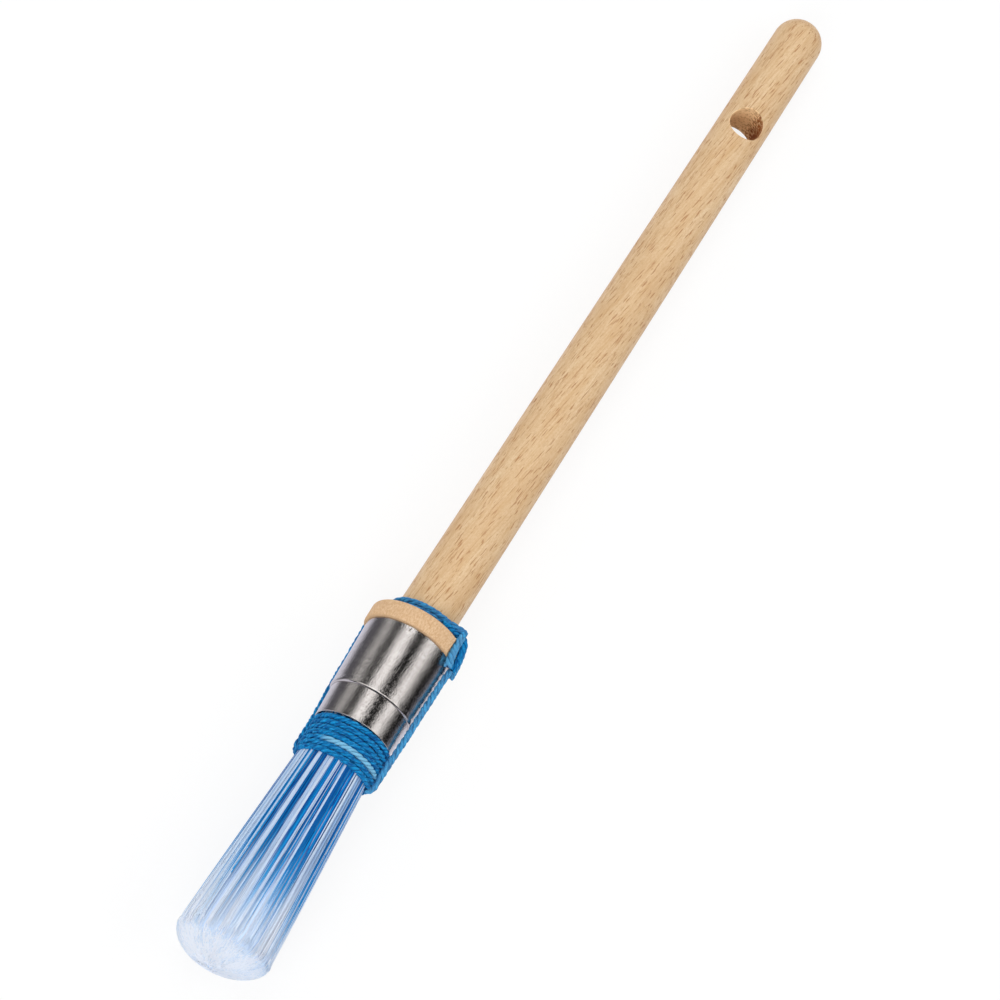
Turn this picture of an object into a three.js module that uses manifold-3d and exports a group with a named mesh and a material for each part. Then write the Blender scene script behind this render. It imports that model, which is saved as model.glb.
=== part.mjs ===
// A round paint brush with a string-whipped head, lying on its side. Millimetres, +Z up.
// The brush is built upright: +Y runs along its axis from the bristles to the handle's end, y = 0 is the
// ferrule's rim, and +Z is the side that the hanging hole faces. The last section lays it down.

import * as THREE from "three";
import { mergeVertices } from "three/addons/utils/BufferGeometryUtils.js";
import Module from "manifold-3d";

const wasm = await Module();
wasm.setup();

// ---- handle ----
const handleReach = 200.2; // from the ferrule's rim to the end of the dome
const handleNeckDiameter = 14.6; // where it enters the collar
const handleEndDiameter = 12.4; // where the dome begins
const handleBottomChamfer = 0.8;
const hangHoleDiameter = 8.3;
const hangHoleFromEnd = 36.5;

// ---- collar, a stepped bush between handle and ferrule ----
const collarDiameter = 23.7;
const collarThickness = 4.9; // the flange that shows above the ferrule
const collarRounding = 1.0; // of the flange's upper edge
const collarSpigotLength = 13; // the part inside the ferrule
const notchWidth = 3.2; // of the notches that the string crosses the flange in
const notchTilt = 5; // degrees, as the saw was held

// ---- ferrule, drawn from thin steel in two steps ----
const ferruleLength = 26.6;
const ferruleRimDiameter = 22.1;
const ferruleShoulderDiameter = 21.2; // lower end of the upper step
const ferruleWaistDiameter = 20.4; // upper end of the lower step
const ferruleMouthDiameter = 19.8;
const ferruleWall = 0.4;
const ferruleStepDepth = 17.9; // from the rim down to the step
const ferruleStepHeight = 0.4;
const ferruleMouthRounding = 0.2;
const stakeDiameter = 1.2; // the punch marks that hold the ferrule to the collar
const stakeDepth = 0.2;
const stakeDrop = 0.85; // from the rim down to their centres
const stakeCount = 3;
const stakeBearing = -10;
const headLean = 1.05; // degrees that everything but the handle sits out of line, towards the knot

// ---- bristles ----
const bristleReach = 92.9; // from the ferrule's rim down to the tip
const bristleTipDiameter = 23.3;
const bristleDomeHeight = 6.8; // how far the middle stands out past the dome's edge
const bristleDomeShare = 0.99; // of the dome's radius that the outermost strands stand at
const strandDiameter = 0.58;
const strandSpacing = 0.68;
const strandTipShare = 0.7; // thickness at the tip against the root
const tuftPairs = 8; // blue and white tufts take turns round the brush
const blueTuftAngle = 22; // degrees that one blue tuft takes
const hubDiameter = 5.2; // inside it the strands are all white
const resinThickness = 3.6; // the plug that the roots are set in
const rootSliceThickness = 1.5; // one slice of resin to each colour

// ---- string ----
const stringDiameter = 1.5;
const windingPitch = 1.5; // turns lie against each other
const windingStringDiameter = 1.06; // drawn thinner in the windings, so that the turns stay apart
const whippingInnerDiameter = 16.6; // the bristles, squeezed by the whipping
const whippingDrop = 0.9; // from the ferrule's mouth down to the top turn's middle
const whippingStart = 100; // bearing where the top turn begins
const whippingEnd = -98; // bearing where the bottom turn ends
const whippingTurns = 6; // whole turns between those two bearings
const neckWrapTurns = 1; // whole turns round the handle, besides the part of a turn
const neckDip = 1.35; // how far the neck string bends down into its notch before its last stretch

// ---- fits ----
const glueGap = 0.15; // between turned pieces that are glued into each other
const seatGap = 0.3; // between a piece and what it lies on
const legGap = 0.1; // between a leg of the string and what it is drawn tight along
const rimGap = 0.1; // between the collar's flange and the ferrule's rim

// ---- fineness ----
const turnedSides = 48;
const restingSides = 24; // of the handle and the collar, whose flats the brush lies on
const domeSteps = 7;
const holeSides = 24;
const windingSteps = 24; // to one turn
const windingSides = 6;
const cordSides = 8;
const cordStep = 1; // length of one straight piece of a cord that isn't wound
const stakeSides = 12;
const collarRoundingSteps = 3;

const degrees = Math.PI / 180;
const neckRadius = handleNeckDiameter / 2;
const collarRadius = collarDiameter / 2;
const stringRadius = stringDiameter / 2;

// ---- materials ----
const beech = new THREE.MeshStandardMaterial({ color: 0xdcbd92, roughness: 0.6 });
const pressedFibre = new THREE.MeshStandardMaterial({ color: 0xd9b183, roughness: 0.75 });
const steel = new THREE.MeshStandardMaterial({ color: 0xc4c2c0, roughness: 0.25, metalness: 1 });
const resin = new THREE.MeshStandardMaterial({ color: 0xb9a468, roughness: 0.4 });
const whiteFilament = new THREE.MeshStandardMaterial({ color: 0xdfe6f4, roughness: 0.45 });
const blueFilament = new THREE.MeshStandardMaterial({ color: 0x1f72b8, roughness: 0.45 });
const blueTwine = new THREE.MeshStandardMaterial({ color: 0x2a7fb6, roughness: 0.85 });

// ---- making solids ----

// A point on the brush by its bearing, in degrees from the hole's side towards +X, radius and height.
function around(bearing, radius, height) {
  const angle = bearing * degrees;
  return new THREE.Vector3(radius * Math.sin(angle), height, radius * Math.cos(angle));
}

// A turned solid from [radius, height] pairs, with a flat of the polygon facing down when it lies.
function turned(profile, sides) {
  const points = profile.map(([radius, height]) => new THREE.Vector2(radius, height));
  return new THREE.LatheGeometry(points, sides, Math.PI / sides);
}

function toSolid(geometry) {
  const bare = geometry.clone();
  bare.deleteAttribute("normal");
  bare.deleteAttribute("uv");
  const merged = mergeVertices(bare, 1e-4);
  return new wasm.Manifold(
    new wasm.Mesh({
      numProp: 3,
      vertProperties: new Float32Array(merged.attributes.position.array),
      triVerts: new Uint32Array(merged.index.array),
    }),
  );
}

function toGeometry(solid) {
  const mesh = solid.getMesh();
  const geometry = new THREE.BufferGeometry();
  geometry.setAttribute("position", new THREE.BufferAttribute(mesh.vertProperties, 3));
  geometry.setIndex(new THREE.BufferAttribute(mesh.triVerts, 1));
  geometry.computeVertexNormals();
  return geometry;
}

function polygon(radius, sides) {
  const corners = [];
  for (let i = 0; i < sides; i++) {
    const angle = (2 * Math.PI * i) / sides;
    corners.push(new THREE.Vector2(radius * Math.cos(angle), radius * Math.sin(angle)));
  }
  return new THREE.Shape(corners);
}

// A round cord along a curve, with closed ends.
function cord(curve, diameter, sides, steps) {
  return new THREE.ExtrudeGeometry(polygon(diameter / 2, sides), {
    steps,
    bevelEnabled: false,
    extrudePath: curve,
  });
}

// A stretch of string along a route of [bearing, radius, height] points.
function stretch(route) {
  const curve = through(route);
  return cord(curve, stringDiameter, cordSides, Math.round(curve.getLength() / cordStep));
}

// The least clear distance between two stretches of a cord that are not neighbours along it.
function leastGap(curve, diameter, name) {
  const samples = 900;
  const points = curve.getSpacedPoints(samples);
  const apart = Math.ceil((4 * diameter * samples) / curve.getLength());
  let least = Infinity;
  for (let i = 0; i < points.length; i++) {
    for (let j = i + apart; j < points.length; j++) {
      least = Math.min(least, points[i].distanceTo(points[j]));
    }
  }
  console.log(`${name}: least gap to itself ${(least - diameter).toFixed(2)} mm`);
}

function piece(name, geometry, material) {
  const mesh = new THREE.Mesh(geometry, material);
  mesh.name = name;
  return mesh;
}

// ---- handle ----

function handle() {
  const endRadius = handleEndDiameter / 2;
  const domeStart = handleReach - endRadius;
  const bottom = -collarSpigotLength;
  const profile = [
    [0, bottom],
    [neckRadius - handleBottomChamfer, bottom],
    [neckRadius, bottom + handleBottomChamfer],
    [neckRadius, collarThickness],
    [endRadius, domeStart],
  ];
  for (let i = 1; i < domeSteps; i++) {
    const angle = (i / domeSteps) * 90 * degrees;
    profile.push([endRadius * Math.cos(angle), domeStart + endRadius * Math.sin(angle)]);
  }
  profile.push([0, handleReach]);
  const hole = new THREE.CylinderGeometry(
    hangHoleDiameter / 2,
    hangHoleDiameter / 2,
    2 * handleNeckDiameter,
    holeSides,
  );
  hole.rotateY(Math.PI / holeSides);
  hole.rotateX(90 * degrees);
  hole.translate(0, handleReach - hangHoleFromEnd, 0);
  return toGeometry(toSolid(turned(profile, restingSides)).subtract(toSolid(hole)));
}

// ---- ferrule ----

// The ferrule's outer radius at a height, from its rim down to its mouth.
function ferruleRadius(height) {
  const stepTop = -ferruleStepDepth;
  const stepBottom = stepTop - ferruleStepHeight;
  if (height >= stepTop) {
    return THREE.MathUtils.mapLinear(
      height, 0, stepTop, ferruleRimDiameter / 2, ferruleShoulderDiameter / 2,
    );
  }
  return THREE.MathUtils.mapLinear(
    Math.min(height, stepBottom), stepBottom, -ferruleLength,
    ferruleWaistDiameter / 2, ferruleMouthDiameter / 2,
  );
}

function ferrule() {
  const stepTop = -ferruleStepDepth;
  const stepBottom = stepTop - ferruleStepHeight;
  const mouth = -ferruleLength;
  const mouthRadius = ferruleMouthDiameter / 2;
  const outside = [
    [mouthRadius - ferruleMouthRounding, mouth],
    [mouthRadius, mouth + ferruleMouthRounding],
    [ferruleWaistDiameter / 2, stepBottom],
    [ferruleShoulderDiameter / 2, stepTop],
    [ferruleRimDiameter / 2, 0],
  ];
  // the inner wall's step lies a little lower, so that the wall is as thick there as elsewhere
  const inside = [
    [ferruleRimDiameter / 2 - ferruleWall, 0],
    [ferruleShoulderDiameter / 2 - ferruleWall, stepTop + ferruleWall / 2],
    [ferruleWaistDiameter / 2 - ferruleWall, stepBottom + ferruleWall / 2],
    [mouthRadius - ferruleWall, mouth],
  ];
  let shell = toSolid(turned([...outside, ...inside, outside[0]], turnedSides));
  // each punch mark is a shallow cap of a ball
  const ballRadius = (stakeDiameter ** 2 / 4 + stakeDepth ** 2) / (2 * stakeDepth);
  for (let i = 0; i < stakeCount; i++) {
    const ball = new THREE.SphereGeometry(ballRadius, stakeSides, stakeSides);
    const centre = around(
      stakeBearing + (360 * i) / stakeCount,
      ferruleRadius(-stakeDrop) + ballRadius - stakeDepth,
      -stakeDrop,
    );
    ball.translate(centre.x, centre.y, centre.z);
    shell = shell.subtract(toSolid(ball));
  }
  return toGeometry(shell);
}

// ---- collar ----

// Where the string crosses the flange: up from the left leg, and down to its cut end.
const leftCrossing = -120;
const rightCrossing = 50.5;

// The notch is as deep as the ferrule's rim lies inside the flange's.
function notch(bearing) {
  const block = new THREE.BoxGeometry(notchWidth, 3 * collarThickness, collarRadius);
  block.translate(0, 0, ferruleRimDiameter / 2 + collarRadius / 2);
  block.rotateZ(-notchTilt * degrees);
  block.translate(0, collarThickness / 2, 0);
  block.rotateY(bearing * degrees);
  return toSolid(block);
}

function collar() {
  const spigotTop = ferruleRadius(0) - ferruleWall - glueGap;
  const spigotBottom = ferruleRadius(-collarSpigotLength) - ferruleWall - glueGap;
  const profile = [
    [0, -collarSpigotLength],
    [spigotBottom, -collarSpigotLength],
    [spigotTop, 0],
    [spigotTop, rimGap],
    [collarRadius, rimGap],
  ];
  for (let i = 0; i <= collarRoundingSteps; i++) {
    const angle = (i / collarRoundingSteps) * 90 * degrees;
    profile.push([
      collarRadius - collarRounding * (1 - Math.cos(angle)),
      collarThickness - collarRounding * (1 - Math.sin(angle)),
    ]);
  }
  profile.push([0, collarThickness]);
  // the bore follows the handle, which leans the other way
  const boreDiameter = handleNeckDiameter + 2 * glueGap;
  const bore = new THREE.CylinderGeometry(
    boreDiameter / 2,
    boreDiameter / 2,
    4 * collarSpigotLength,
    turnedSides,
  );
  bore.rotateZ(-headLean * degrees);
  return toGeometry(
    toSolid(turned(profile, restingSides))
      .subtract(toSolid(bore))
      .subtract(notch(leftCrossing))
      .subtract(notch(rightCrossing)),
  );
}

// ---- resin plug and bristles ----

const resinTop = -collarSpigotLength - seatGap;
const blueSliceTop = resinTop - resinThickness - seatGap;
const whiteSliceTop = blueSliceTop - rootSliceThickness - seatGap;
const whiteSliceBottom = whiteSliceTop - rootSliceThickness;

// The widest disc that stays clear of the ferrule's bore down to a height.
function boreRadius(height) {
  return ferruleRadius(height) - ferruleWall - seatGap;
}

function resinPlug() {
  const bottom = resinTop - resinThickness;
  return turned(
    [
      [0, bottom],
      [boreRadius(bottom), bottom],
      [ferruleRadius(resinTop) - ferruleWall - seatGap, resinTop],
      [0, resinTop],
    ],
    turnedSides,
  );
}

// Where the strands stand at the waist, inside the whipping. Tufts of the two colours take turns, and the
// slots that the blue ones pass through keep clear of the white slice.
const strandRadius = strandDiameter / 2;
const waistHeight = -(ferruleLength + whippingTurns * windingPitch / 2 + windingPitch);
const waistRadius = (whippingInnerDiameter - strandDiameter) / 2 - seatGap;
const tuftPairAngle = 360 / tuftPairs;
const hubRadius = hubDiameter / 2;

function strandPlaces() {
  const places = { blue: [], white: [] };
  const rings = Math.floor(waistRadius / strandSpacing);
  const ringStep = waistRadius / rings;
  for (let ring = 0; ring <= rings; ring++) {
    const radius = ring * ringStep;
    if (radius < hubRadius) {
      const count = Math.max(1, Math.floor((2 * Math.PI * radius) / strandSpacing));
      for (let i = 0; i < count; i++) {
        places.white.push([radius, (360 * i) / count]);
      }
      continue;
    }
    for (let tuft = 0; tuft < tuftPairs; tuft++) {
      const middle = tuft * tuftPairAngle;
      const tufts = [
        ["blue", middle, blueTuftAngle, seatGap + strandRadius],
        ["white", middle + tuftPairAngle / 2, tuftPairAngle - blueTuftAngle, strandRadius],
      ];
      for (const [colour, bearing, width, margin] of tufts) {
        const room = radius * width * degrees - 2 * margin;
        if (room < 0) continue;
        const count = Math.floor(room / strandSpacing) + 1;
        for (let i = 0; i < count; i++) {
          const share = count === 1 ? 0 : i / (count - 1) - 0.5;
          places[colour].push([radius, bearing + (share * room) / radius / degrees]);
        }
      }
    }
  }
  return places;
}

// Strands with three sides, from inside their slice, through the waist, to the domed tip.
function strands(places, rootHeight) {
  const rootRadius = boreRadius(whiteSliceBottom) - strandRadius - seatGap;
  const tipRadius = (bristleTipDiameter - strandDiameter) / 2;
  const positions = [];
  const index = [];
  for (const [radius, bearing] of places) {
    const share = radius / waistRadius;
    const domeRise = 1 - Math.sqrt(1 - (share * bristleDomeShare) ** 2);
    const tipHeight = -bristleReach + bristleDomeHeight * domeRise;
    const stations = [
      [share * rootRadius, rootHeight, strandRadius],
      [radius, waistHeight, strandRadius],
      [share * tipRadius, tipHeight, strandRadius * strandTipShare],
    ];
    const first = positions.length / 3;
    for (const [offset, height, size] of stations) {
      const centre = around(bearing, offset, height);
      for (let corner = 0; corner < 3; corner++) {
        const spot = around(bearing + 120 * corner, size, 0).add(centre);
        positions.push(spot.x, spot.y, spot.z);
      }
    }
    for (let ring = 0; ring < stations.length - 1; ring++) {
      for (let corner = 0; corner < 3; corner++) {
        const a = first + 3 * ring + corner;
        const b = first + 3 * ring + ((corner + 1) % 3);
        index.push(a, a + 3, b, b, a + 3, b + 3);
      }
    }
    const last = first + 3 * (stations.length - 1);
    index.push(first, first + 1, first + 2, last, last + 2, last + 1);
  }
  const geometry = new THREE.BufferGeometry();
  geometry.setAttribute("position", new THREE.Float32BufferAttribute(positions, 3));
  geometry.setIndex(index);
  return geometry;
}

const rootEmbedding = 0.5; // how far a strand reaches into its slice

function blueBristles(places) {
  const radius = boreRadius(blueSliceTop - rootSliceThickness);
  const slice = turned(
    [
      [0, blueSliceTop - rootSliceThickness],
      [radius, blueSliceTop - rootSliceThickness],
      [radius, blueSliceTop],
      [0, blueSliceTop],
    ],
    turnedSides,
  );
  const rootHeight = blueSliceTop - rootSliceThickness + rootEmbedding;
  return toGeometry(toSolid(strands(places.blue, rootHeight)).add(toSolid(slice)));
}

// The white slice is a star: a hub with one tooth to each white tuft, and a slot to each blue one.
function whiteBristles(places) {
  const outerRadius = boreRadius(whiteSliceBottom);
  const rootShare = (outerRadius - strandRadius - seatGap) / waistRadius;
  const hub = hubRadius * rootShare;
  const star = new THREE.Shape();
  for (let tuft = 0; tuft < tuftPairs; tuft++) {
    const start = (tuft * tuftPairAngle + blueTuftAngle / 2) * degrees;
    const end = ((tuft + 1) * tuftPairAngle - blueTuftAngle / 2) * degrees;
    star.absarc(0, 0, outerRadius, start, end, false);
    star.lineTo(hub * Math.cos(end), hub * Math.sin(end));
    const next = end + blueTuftAngle * degrees;
    star.lineTo(hub * Math.cos(next), hub * Math.sin(next));
  }
  const slice = new THREE.ExtrudeGeometry(star, {
    depth: rootSliceThickness,
    bevelEnabled: false,
    curveSegments: 3,
  });
  // the shape's own plane is turned level: its angles then run as bearings do
  slice.rotateX(90 * degrees);
  slice.rotateY(90 * degrees);
  slice.translate(0, whiteSliceTop, 0);
  const rootHeight = whiteSliceBottom + rootEmbedding;
  return toGeometry(toSolid(strands(places.white, rootHeight)).add(toSolid(slice)));
}

// ---- string ----

// A helix round the brush whose ends run straight for one string diameter.
class Winding extends THREE.Curve {
  constructor(radius, fromBearing, toBearing, fromHeight, toHeight) {
    super();
    Object.assign(this, { radius, fromBearing, toBearing, fromHeight, toHeight });
    this.arc = radius * Math.abs(toBearing - fromBearing) * degrees;
    this.straight = windingStringDiameter;
  }

  getPoint(t, target = new THREE.Vector3()) {
    const along = t * (this.arc + 2 * this.straight) - this.straight;
    const share = THREE.MathUtils.clamp(along / this.arc, 0, 1);
    const bearing = THREE.MathUtils.lerp(this.fromBearing, this.toBearing, share);
    const height = THREE.MathUtils.lerp(this.fromHeight, this.toHeight, share);
    const beyond = along - share * this.arc;
    const heading = around(bearing + 90, 1, 0).multiplyScalar(
      beyond * Math.sign(this.toBearing - this.fromBearing),
    );
    return target.copy(around(bearing, this.radius, height)).add(heading);
  }
}

const whippingRadius = whippingInnerDiameter / 2 + stringRadius;
const whippingOuterRadius = whippingRadius + stringRadius;
const whippingTop = -ferruleLength - whippingDrop;
const whippingAngle = whippingTurns * 360 + whippingStart - whippingEnd;
const whippingBottom = whippingTop - (whippingAngle / 360) * windingPitch;

function whippingCurve() {
  return new Winding(
    whippingRadius, whippingStart, whippingStart - whippingAngle, whippingTop, whippingBottom,
  );
}

// The string's routes, as bearing, radius and height. A leg clears the ferrule by its own radius.
const legLift = stringRadius + legGap;
const besideCollar = collarRadius + legLift;
const overWhipping = whippingOuterRadius + legLift;
const onCollar = collarThickness + windingStringDiameter / 2 + seatGap;
const neckStringRadius = neckRadius + windingStringDiameter / 2 + seatGap;

function beside(height) {
  return ferruleRadius(height) + legLift;
}

const leftLegRoute = [
  [whippingEnd - 9.5, whippingRadius + 0.1, whippingBottom],
  [whippingEnd - 14.5, whippingRadius + 0.65, whippingBottom + 0.05],
  [whippingEnd - 17.5, overWhipping - 0.25, whippingBottom + 1],
  [-117.5, overWhipping, whippingBottom + 2.8],
  [-118, overWhipping + 0.05, whippingTop - 1],
  [-119.5, beside(-22) + 0.05, -23],
  [-121, beside(-ferruleStepDepth), -ferruleStepDepth],
  [-120.5, beside(-8), -8],
  [leftCrossing, beside(-2), -2],
  [leftCrossing, beside(0), 1],
  [leftCrossing, beside(0), collarThickness - 1.6],
];

const rightLegRoute = [
  [74, whippingRadius + 0.2, whippingBottom - 0.85],
  [79, whippingRadius + 0.85, whippingBottom - 0.6],
  [80, overWhipping - 0.25, whippingBottom + 0.5],
  [76.5, overWhipping, whippingBottom + 2.6],
  [71, overWhipping + 0.35, whippingTop - 1],
  [67.5, beside(-22) + 0.45, -23],
  [65, beside(-ferruleStepDepth) + 0.1, -ferruleStepDepth],
  [66, beside(-8), -8],
  [67.7, beside(-3) + 0.1, -3.4],
  [69, beside(-1.5) + 0.4, -1.7],
];

// The neck string comes up through its notch, goes round the handle and leaves for the other notch.
const neckTouch = leftCrossing + 46;
const neckLeave = 2;
const neckTurnPoints = 12;
const neckAngle = neckWrapTurns * 360 + neckLeave - neckTouch;
const neckTop = onCollar + (neckAngle * windingPitch) / 360;
const neckEnd = neckTop - neckDip;

function neckRoute() {
  const route = [
    [leftCrossing, beside(0), collarThickness - 1.25],
    [leftCrossing, beside(0) + 0.05, collarThickness - 0.3],
    [leftCrossing + 0.5, beside(0) - 0.4, collarThickness + 0.75],
    [leftCrossing + 3, beside(0) - 1.2, onCollar + 0.05],
    [leftCrossing + 12, collarRadius - 1.9, onCollar],
  ];
  const count = Math.round((neckAngle / 360) * neckTurnPoints);
  for (let i = 0; i <= count; i++) {
    const share = i / count;
    route.push([
      neckTouch + share * neckAngle,
      neckStringRadius,
      THREE.MathUtils.lerp(onCollar, neckTop, share),
    ]);
  }
  route.push(
    [neckLeave + 38, collarRadius - 1.5, neckTop],
    [rightCrossing - 3, collarRadius - 0.45, neckTop - 0.15],
    [rightCrossing - 0.5, beside(0), neckTop - 0.75],
    [rightCrossing, beside(0) + 0.05, neckEnd],
  );
  return route;
}

// The string's end comes down through its notch and is cut off just below the ferrule's rim.
const endRoute = [
  [rightCrossing, beside(0) + 0.05, neckEnd - seatGap],
  [rightCrossing, beside(0), collarThickness - 1],
  [rightCrossing + 1.5, beside(0), 0.5],
  [rightCrossing + 4.5, beside(-1) + 0.05, -1.3],
];

// The knot: the right leg goes up outside the flange and in over it, to be tucked under the neck string.
const tuckRoute = [
  [68.8, beside(-1.5) + 0.5, -1.3],
  [67, besideCollar, 0.3],
  [62.5, besideCollar + 0.05, 2.5],
  [60, besideCollar, 4.1],
  [59, besideCollar - 0.4, 5.4],
  [57.5, besideCollar - 1.2, 6],
  [54, besideCollar - 2, 5.8],
  [46, besideCollar - 2.8, 5.75],
];

// Its other cut end hangs behind the leg.
const knotTailRoute = [
  [62, besideCollar + 0.1, 3.4],
  [67.5, besideCollar + 0.25, 1.9],
  [73.5, besideCollar + 0.05, 0.5],
  [78, besideCollar - 0.05, -0.8],
  [80, besideCollar - 0.3, -2],
];

function through(route) {
  const points = route.map(([bearing, radius, height]) => around(bearing, radius, height));
  return new THREE.CatmullRomCurve3(points);
}

function whipping() {
  const curve = whippingCurve();
  leastGap(curve, windingStringDiameter, "string_whipping");
  const steps = Math.round((windingSteps * whippingAngle) / 360);
  return cord(curve, windingStringDiameter, windingSides, steps);
}

function neckLoop() {
  const curve = through(neckRoute());
  leastGap(curve, windingStringDiameter, "string_neck_loop");
  return cord(curve, windingStringDiameter, windingSides, 2 * windingSteps);
}

function knot() {
  return toGeometry(toSolid(stretch(tuckRoute)).add(toSolid(stretch(knotTailRoute))));
}

// ---- the brush, upright ----

const places = strandPlaces();
console.log(`${places.blue.length} blue and ${places.white.length} white strands`);

const head = new THREE.Group();
head.rotation.z = headLean * degrees;
head.add(
  piece("collar", collar(), pressedFibre),
  piece("ferrule", ferrule(), steel),
  piece("resin_plug", resinPlug(), resin),
  piece("bristles_blue", blueBristles(places), blueFilament),
  piece("bristles_white", whiteBristles(places), whiteFilament),
  piece("string_whipping", whipping(), blueTwine),
  piece("string_leg_left", stretch(leftLegRoute), blueTwine),
  piece("string_leg_right", stretch(rightLegRoute), blueTwine),
  piece("string_neck_loop", neckLoop(), blueTwine),
  piece("string_end", stretch(endRoute), blueTwine),
  piece("string_knot", knot(), blueTwine),
);

const upright = new THREE.Group();
upright.add(piece("handle", handle(), beech), head);

// ---- laid down ----
// The brush rests on its collar and on the dome of its handle, so its axis leans a little. +X then runs
// towards the handle's end, and the origin is under the middle of the whole.

const flatShare = Math.cos(Math.PI / restingSides);
const collarFlatRadius = collarRadius * flatShare;
const domeRadius = (handleEndDiameter / 2) * flatShare;
const between = handleReach - handleEndDiameter / 2 - (collarThickness - collarRounding);
const lean =
  Math.atan2(collarFlatRadius, between) -
  Math.asin(domeRadius / Math.hypot(between, collarFlatRadius));

upright.rotation.z = -90 * degrees;
const lying = new THREE.Group();
lying.rotation.y = lean;
lying.add(upright);

const brush = new THREE.Group();
brush.add(lying);
const box = new THREE.Box3().setFromObject(brush, true);
const middle = box.getCenter(new THREE.Vector3());
lying.position.set(-middle.x, -middle.y, -box.min.z);

export default brush;
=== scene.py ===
# A round paint brush with a string-whipped head, lying on a pale table.
import math
from functools import partial

import bmesh
import bpy
from mathutils import Matrix, Vector


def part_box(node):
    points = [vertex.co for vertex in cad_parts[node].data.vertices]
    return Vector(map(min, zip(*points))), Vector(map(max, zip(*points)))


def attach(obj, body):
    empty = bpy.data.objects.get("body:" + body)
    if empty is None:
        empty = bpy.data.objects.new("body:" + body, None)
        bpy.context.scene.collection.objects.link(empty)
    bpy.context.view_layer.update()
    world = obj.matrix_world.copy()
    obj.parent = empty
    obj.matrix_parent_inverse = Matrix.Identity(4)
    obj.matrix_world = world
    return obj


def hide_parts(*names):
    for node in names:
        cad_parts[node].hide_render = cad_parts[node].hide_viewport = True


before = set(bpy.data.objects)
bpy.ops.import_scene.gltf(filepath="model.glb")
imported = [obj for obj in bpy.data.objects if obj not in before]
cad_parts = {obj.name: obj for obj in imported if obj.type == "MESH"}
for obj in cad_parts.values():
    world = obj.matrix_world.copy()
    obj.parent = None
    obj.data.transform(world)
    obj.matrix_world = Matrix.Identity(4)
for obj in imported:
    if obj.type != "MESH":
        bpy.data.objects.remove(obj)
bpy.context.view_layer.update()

# Pieces are made in millimetres on the upright brush: +Y runs up its axis, y = 0 is the ferrule's rim, and
# +Z is the side that the hanging hole faces. A piece is laid down, in metres, once its mesh is done.
brush = {
    "handleReach": 200.2,
    "handleNeckDiameter": 14.6,
    "handleEndDiameter": 12.4,
    "collarDiameter": 23.7,
    "collarThickness": 4.9,
    "collarRounding": 1.0,
    "restingSides": 24,  # of the solids that it rests on
    "headLean": 1.05,
    "ferruleLength": 26.6,
    "ferruleWall": 0.4,
    "whippingDrop": 0.7,
    "whippingInnerDiameter": 16.6,
    "twineDiameter": 1.5,
    "leftCrossing": -120.0,  # bearings of the collar's notches, where the string crosses it
    "rightCrossing": 50.5,
}


def around(bearing, radius, height):  # bearing in degrees, from the hole's side towards +X
    angle = math.radians(bearing)
    return Vector((radius * math.sin(angle), height, radius * math.cos(angle)))


def mix(a, b, share):
    return a + (b - a) * share


# it lies on the collar and on the dome of its handle, whose flats are a little inside their circles
flatShare = math.cos(math.pi / brush["restingSides"])
endRadius = brush["handleEndDiameter"] / 2
collarRadius = brush["collarDiameter"] / 2
collarFlat = collarRadius * flatShare
between = brush["handleReach"] - endRadius - (brush["collarThickness"] - brush["collarRounding"])
lean = math.atan2(collarFlat, between) - math.asin(endRadius * flatShare / math.hypot(between, collarFlat))
handleLow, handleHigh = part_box("handle")
rimPlace = Vector((
    1000 * handleHigh.x - math.cos(lean) * (brush["handleReach"] - endRadius) - endRadius,
    500 * (handleLow.y + handleHigh.y),
    endRadius * flatShare + math.sin(lean) * (brush["handleReach"] - endRadius),
))
upright = Matrix((
    (0, math.cos(lean), math.sin(lean), rimPlace.x),
    (-1, 0, 0, rimPlace.y),
    (0, -math.sin(lean), math.cos(lean), rimPlace.z),
    (0, 0, 0, 1),
))
handlePlace = Matrix.Scale(0.001, 4) @ upright
headPlace = handlePlace @ Matrix.Rotation(math.radians(brush["headLean"]), 4, "Z")
handleAxis = handlePlace.to_3x3() @ Vector((0, 1, 0))

view = {
    "distance": 1150.0,  # from the brush's axis
    "foot": -499.9,  # where it stands along the axis
    "bearing": -4.0,
    "aim": 44.5,  # the point of the axis that it looks at
    "axisAngle": 57.14,  # of the brush in the picture, above the horizontal
    "lens": 193.68,
    "sensor": 36.0,
    "shiftX": -0.00143,
    "shiftY": 0.00091,
    "farthest": 20.0,
}


def placeCamera():
    place = handlePlace @ around(view["bearing"], view["distance"], view["foot"])
    aim = handlePlace @ Vector((0, view["aim"], 0))
    forward = (aim - place).normalized()
    along = (handleAxis - forward * handleAxis.dot(forward)).normalized()
    across = forward.cross(along)
    angle = math.radians(view["axisAngle"])
    right = math.cos(angle) * along + math.sin(angle) * across
    up = math.sin(angle) * along - math.cos(angle) * across
    data = bpy.data.cameras.new("studioCamera")
    data.lens = view["lens"]
    data.sensor_width = view["sensor"]
    data.shift_x = view["shiftX"]
    data.shift_y = view["shiftY"]
    data.clip_end = view["farthest"]
    camera = linked("studioCamera", data)
    camera.matrix_world = Matrix.Translation(place) @ Matrix((right, up, -forward)).transposed().to_4x4()
    bpy.context.scene.camera = camera


def linked(name, data):
    thing = bpy.data.objects.new(name, data)
    bpy.context.scene.collection.objects.link(thing)
    return thing


placeCamera()
print("camera placed")


def linear(hexColour):  # undoes the sRGB curve
    channels = [int(hexColour[i:i + 2], 16) / 255 for i in (1, 3, 5)]
    return [c / 12.92 if c <= 0.04045 else ((c + 0.055) / 1.055) ** 2.4 for c in channels] + [1.0]


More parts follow.
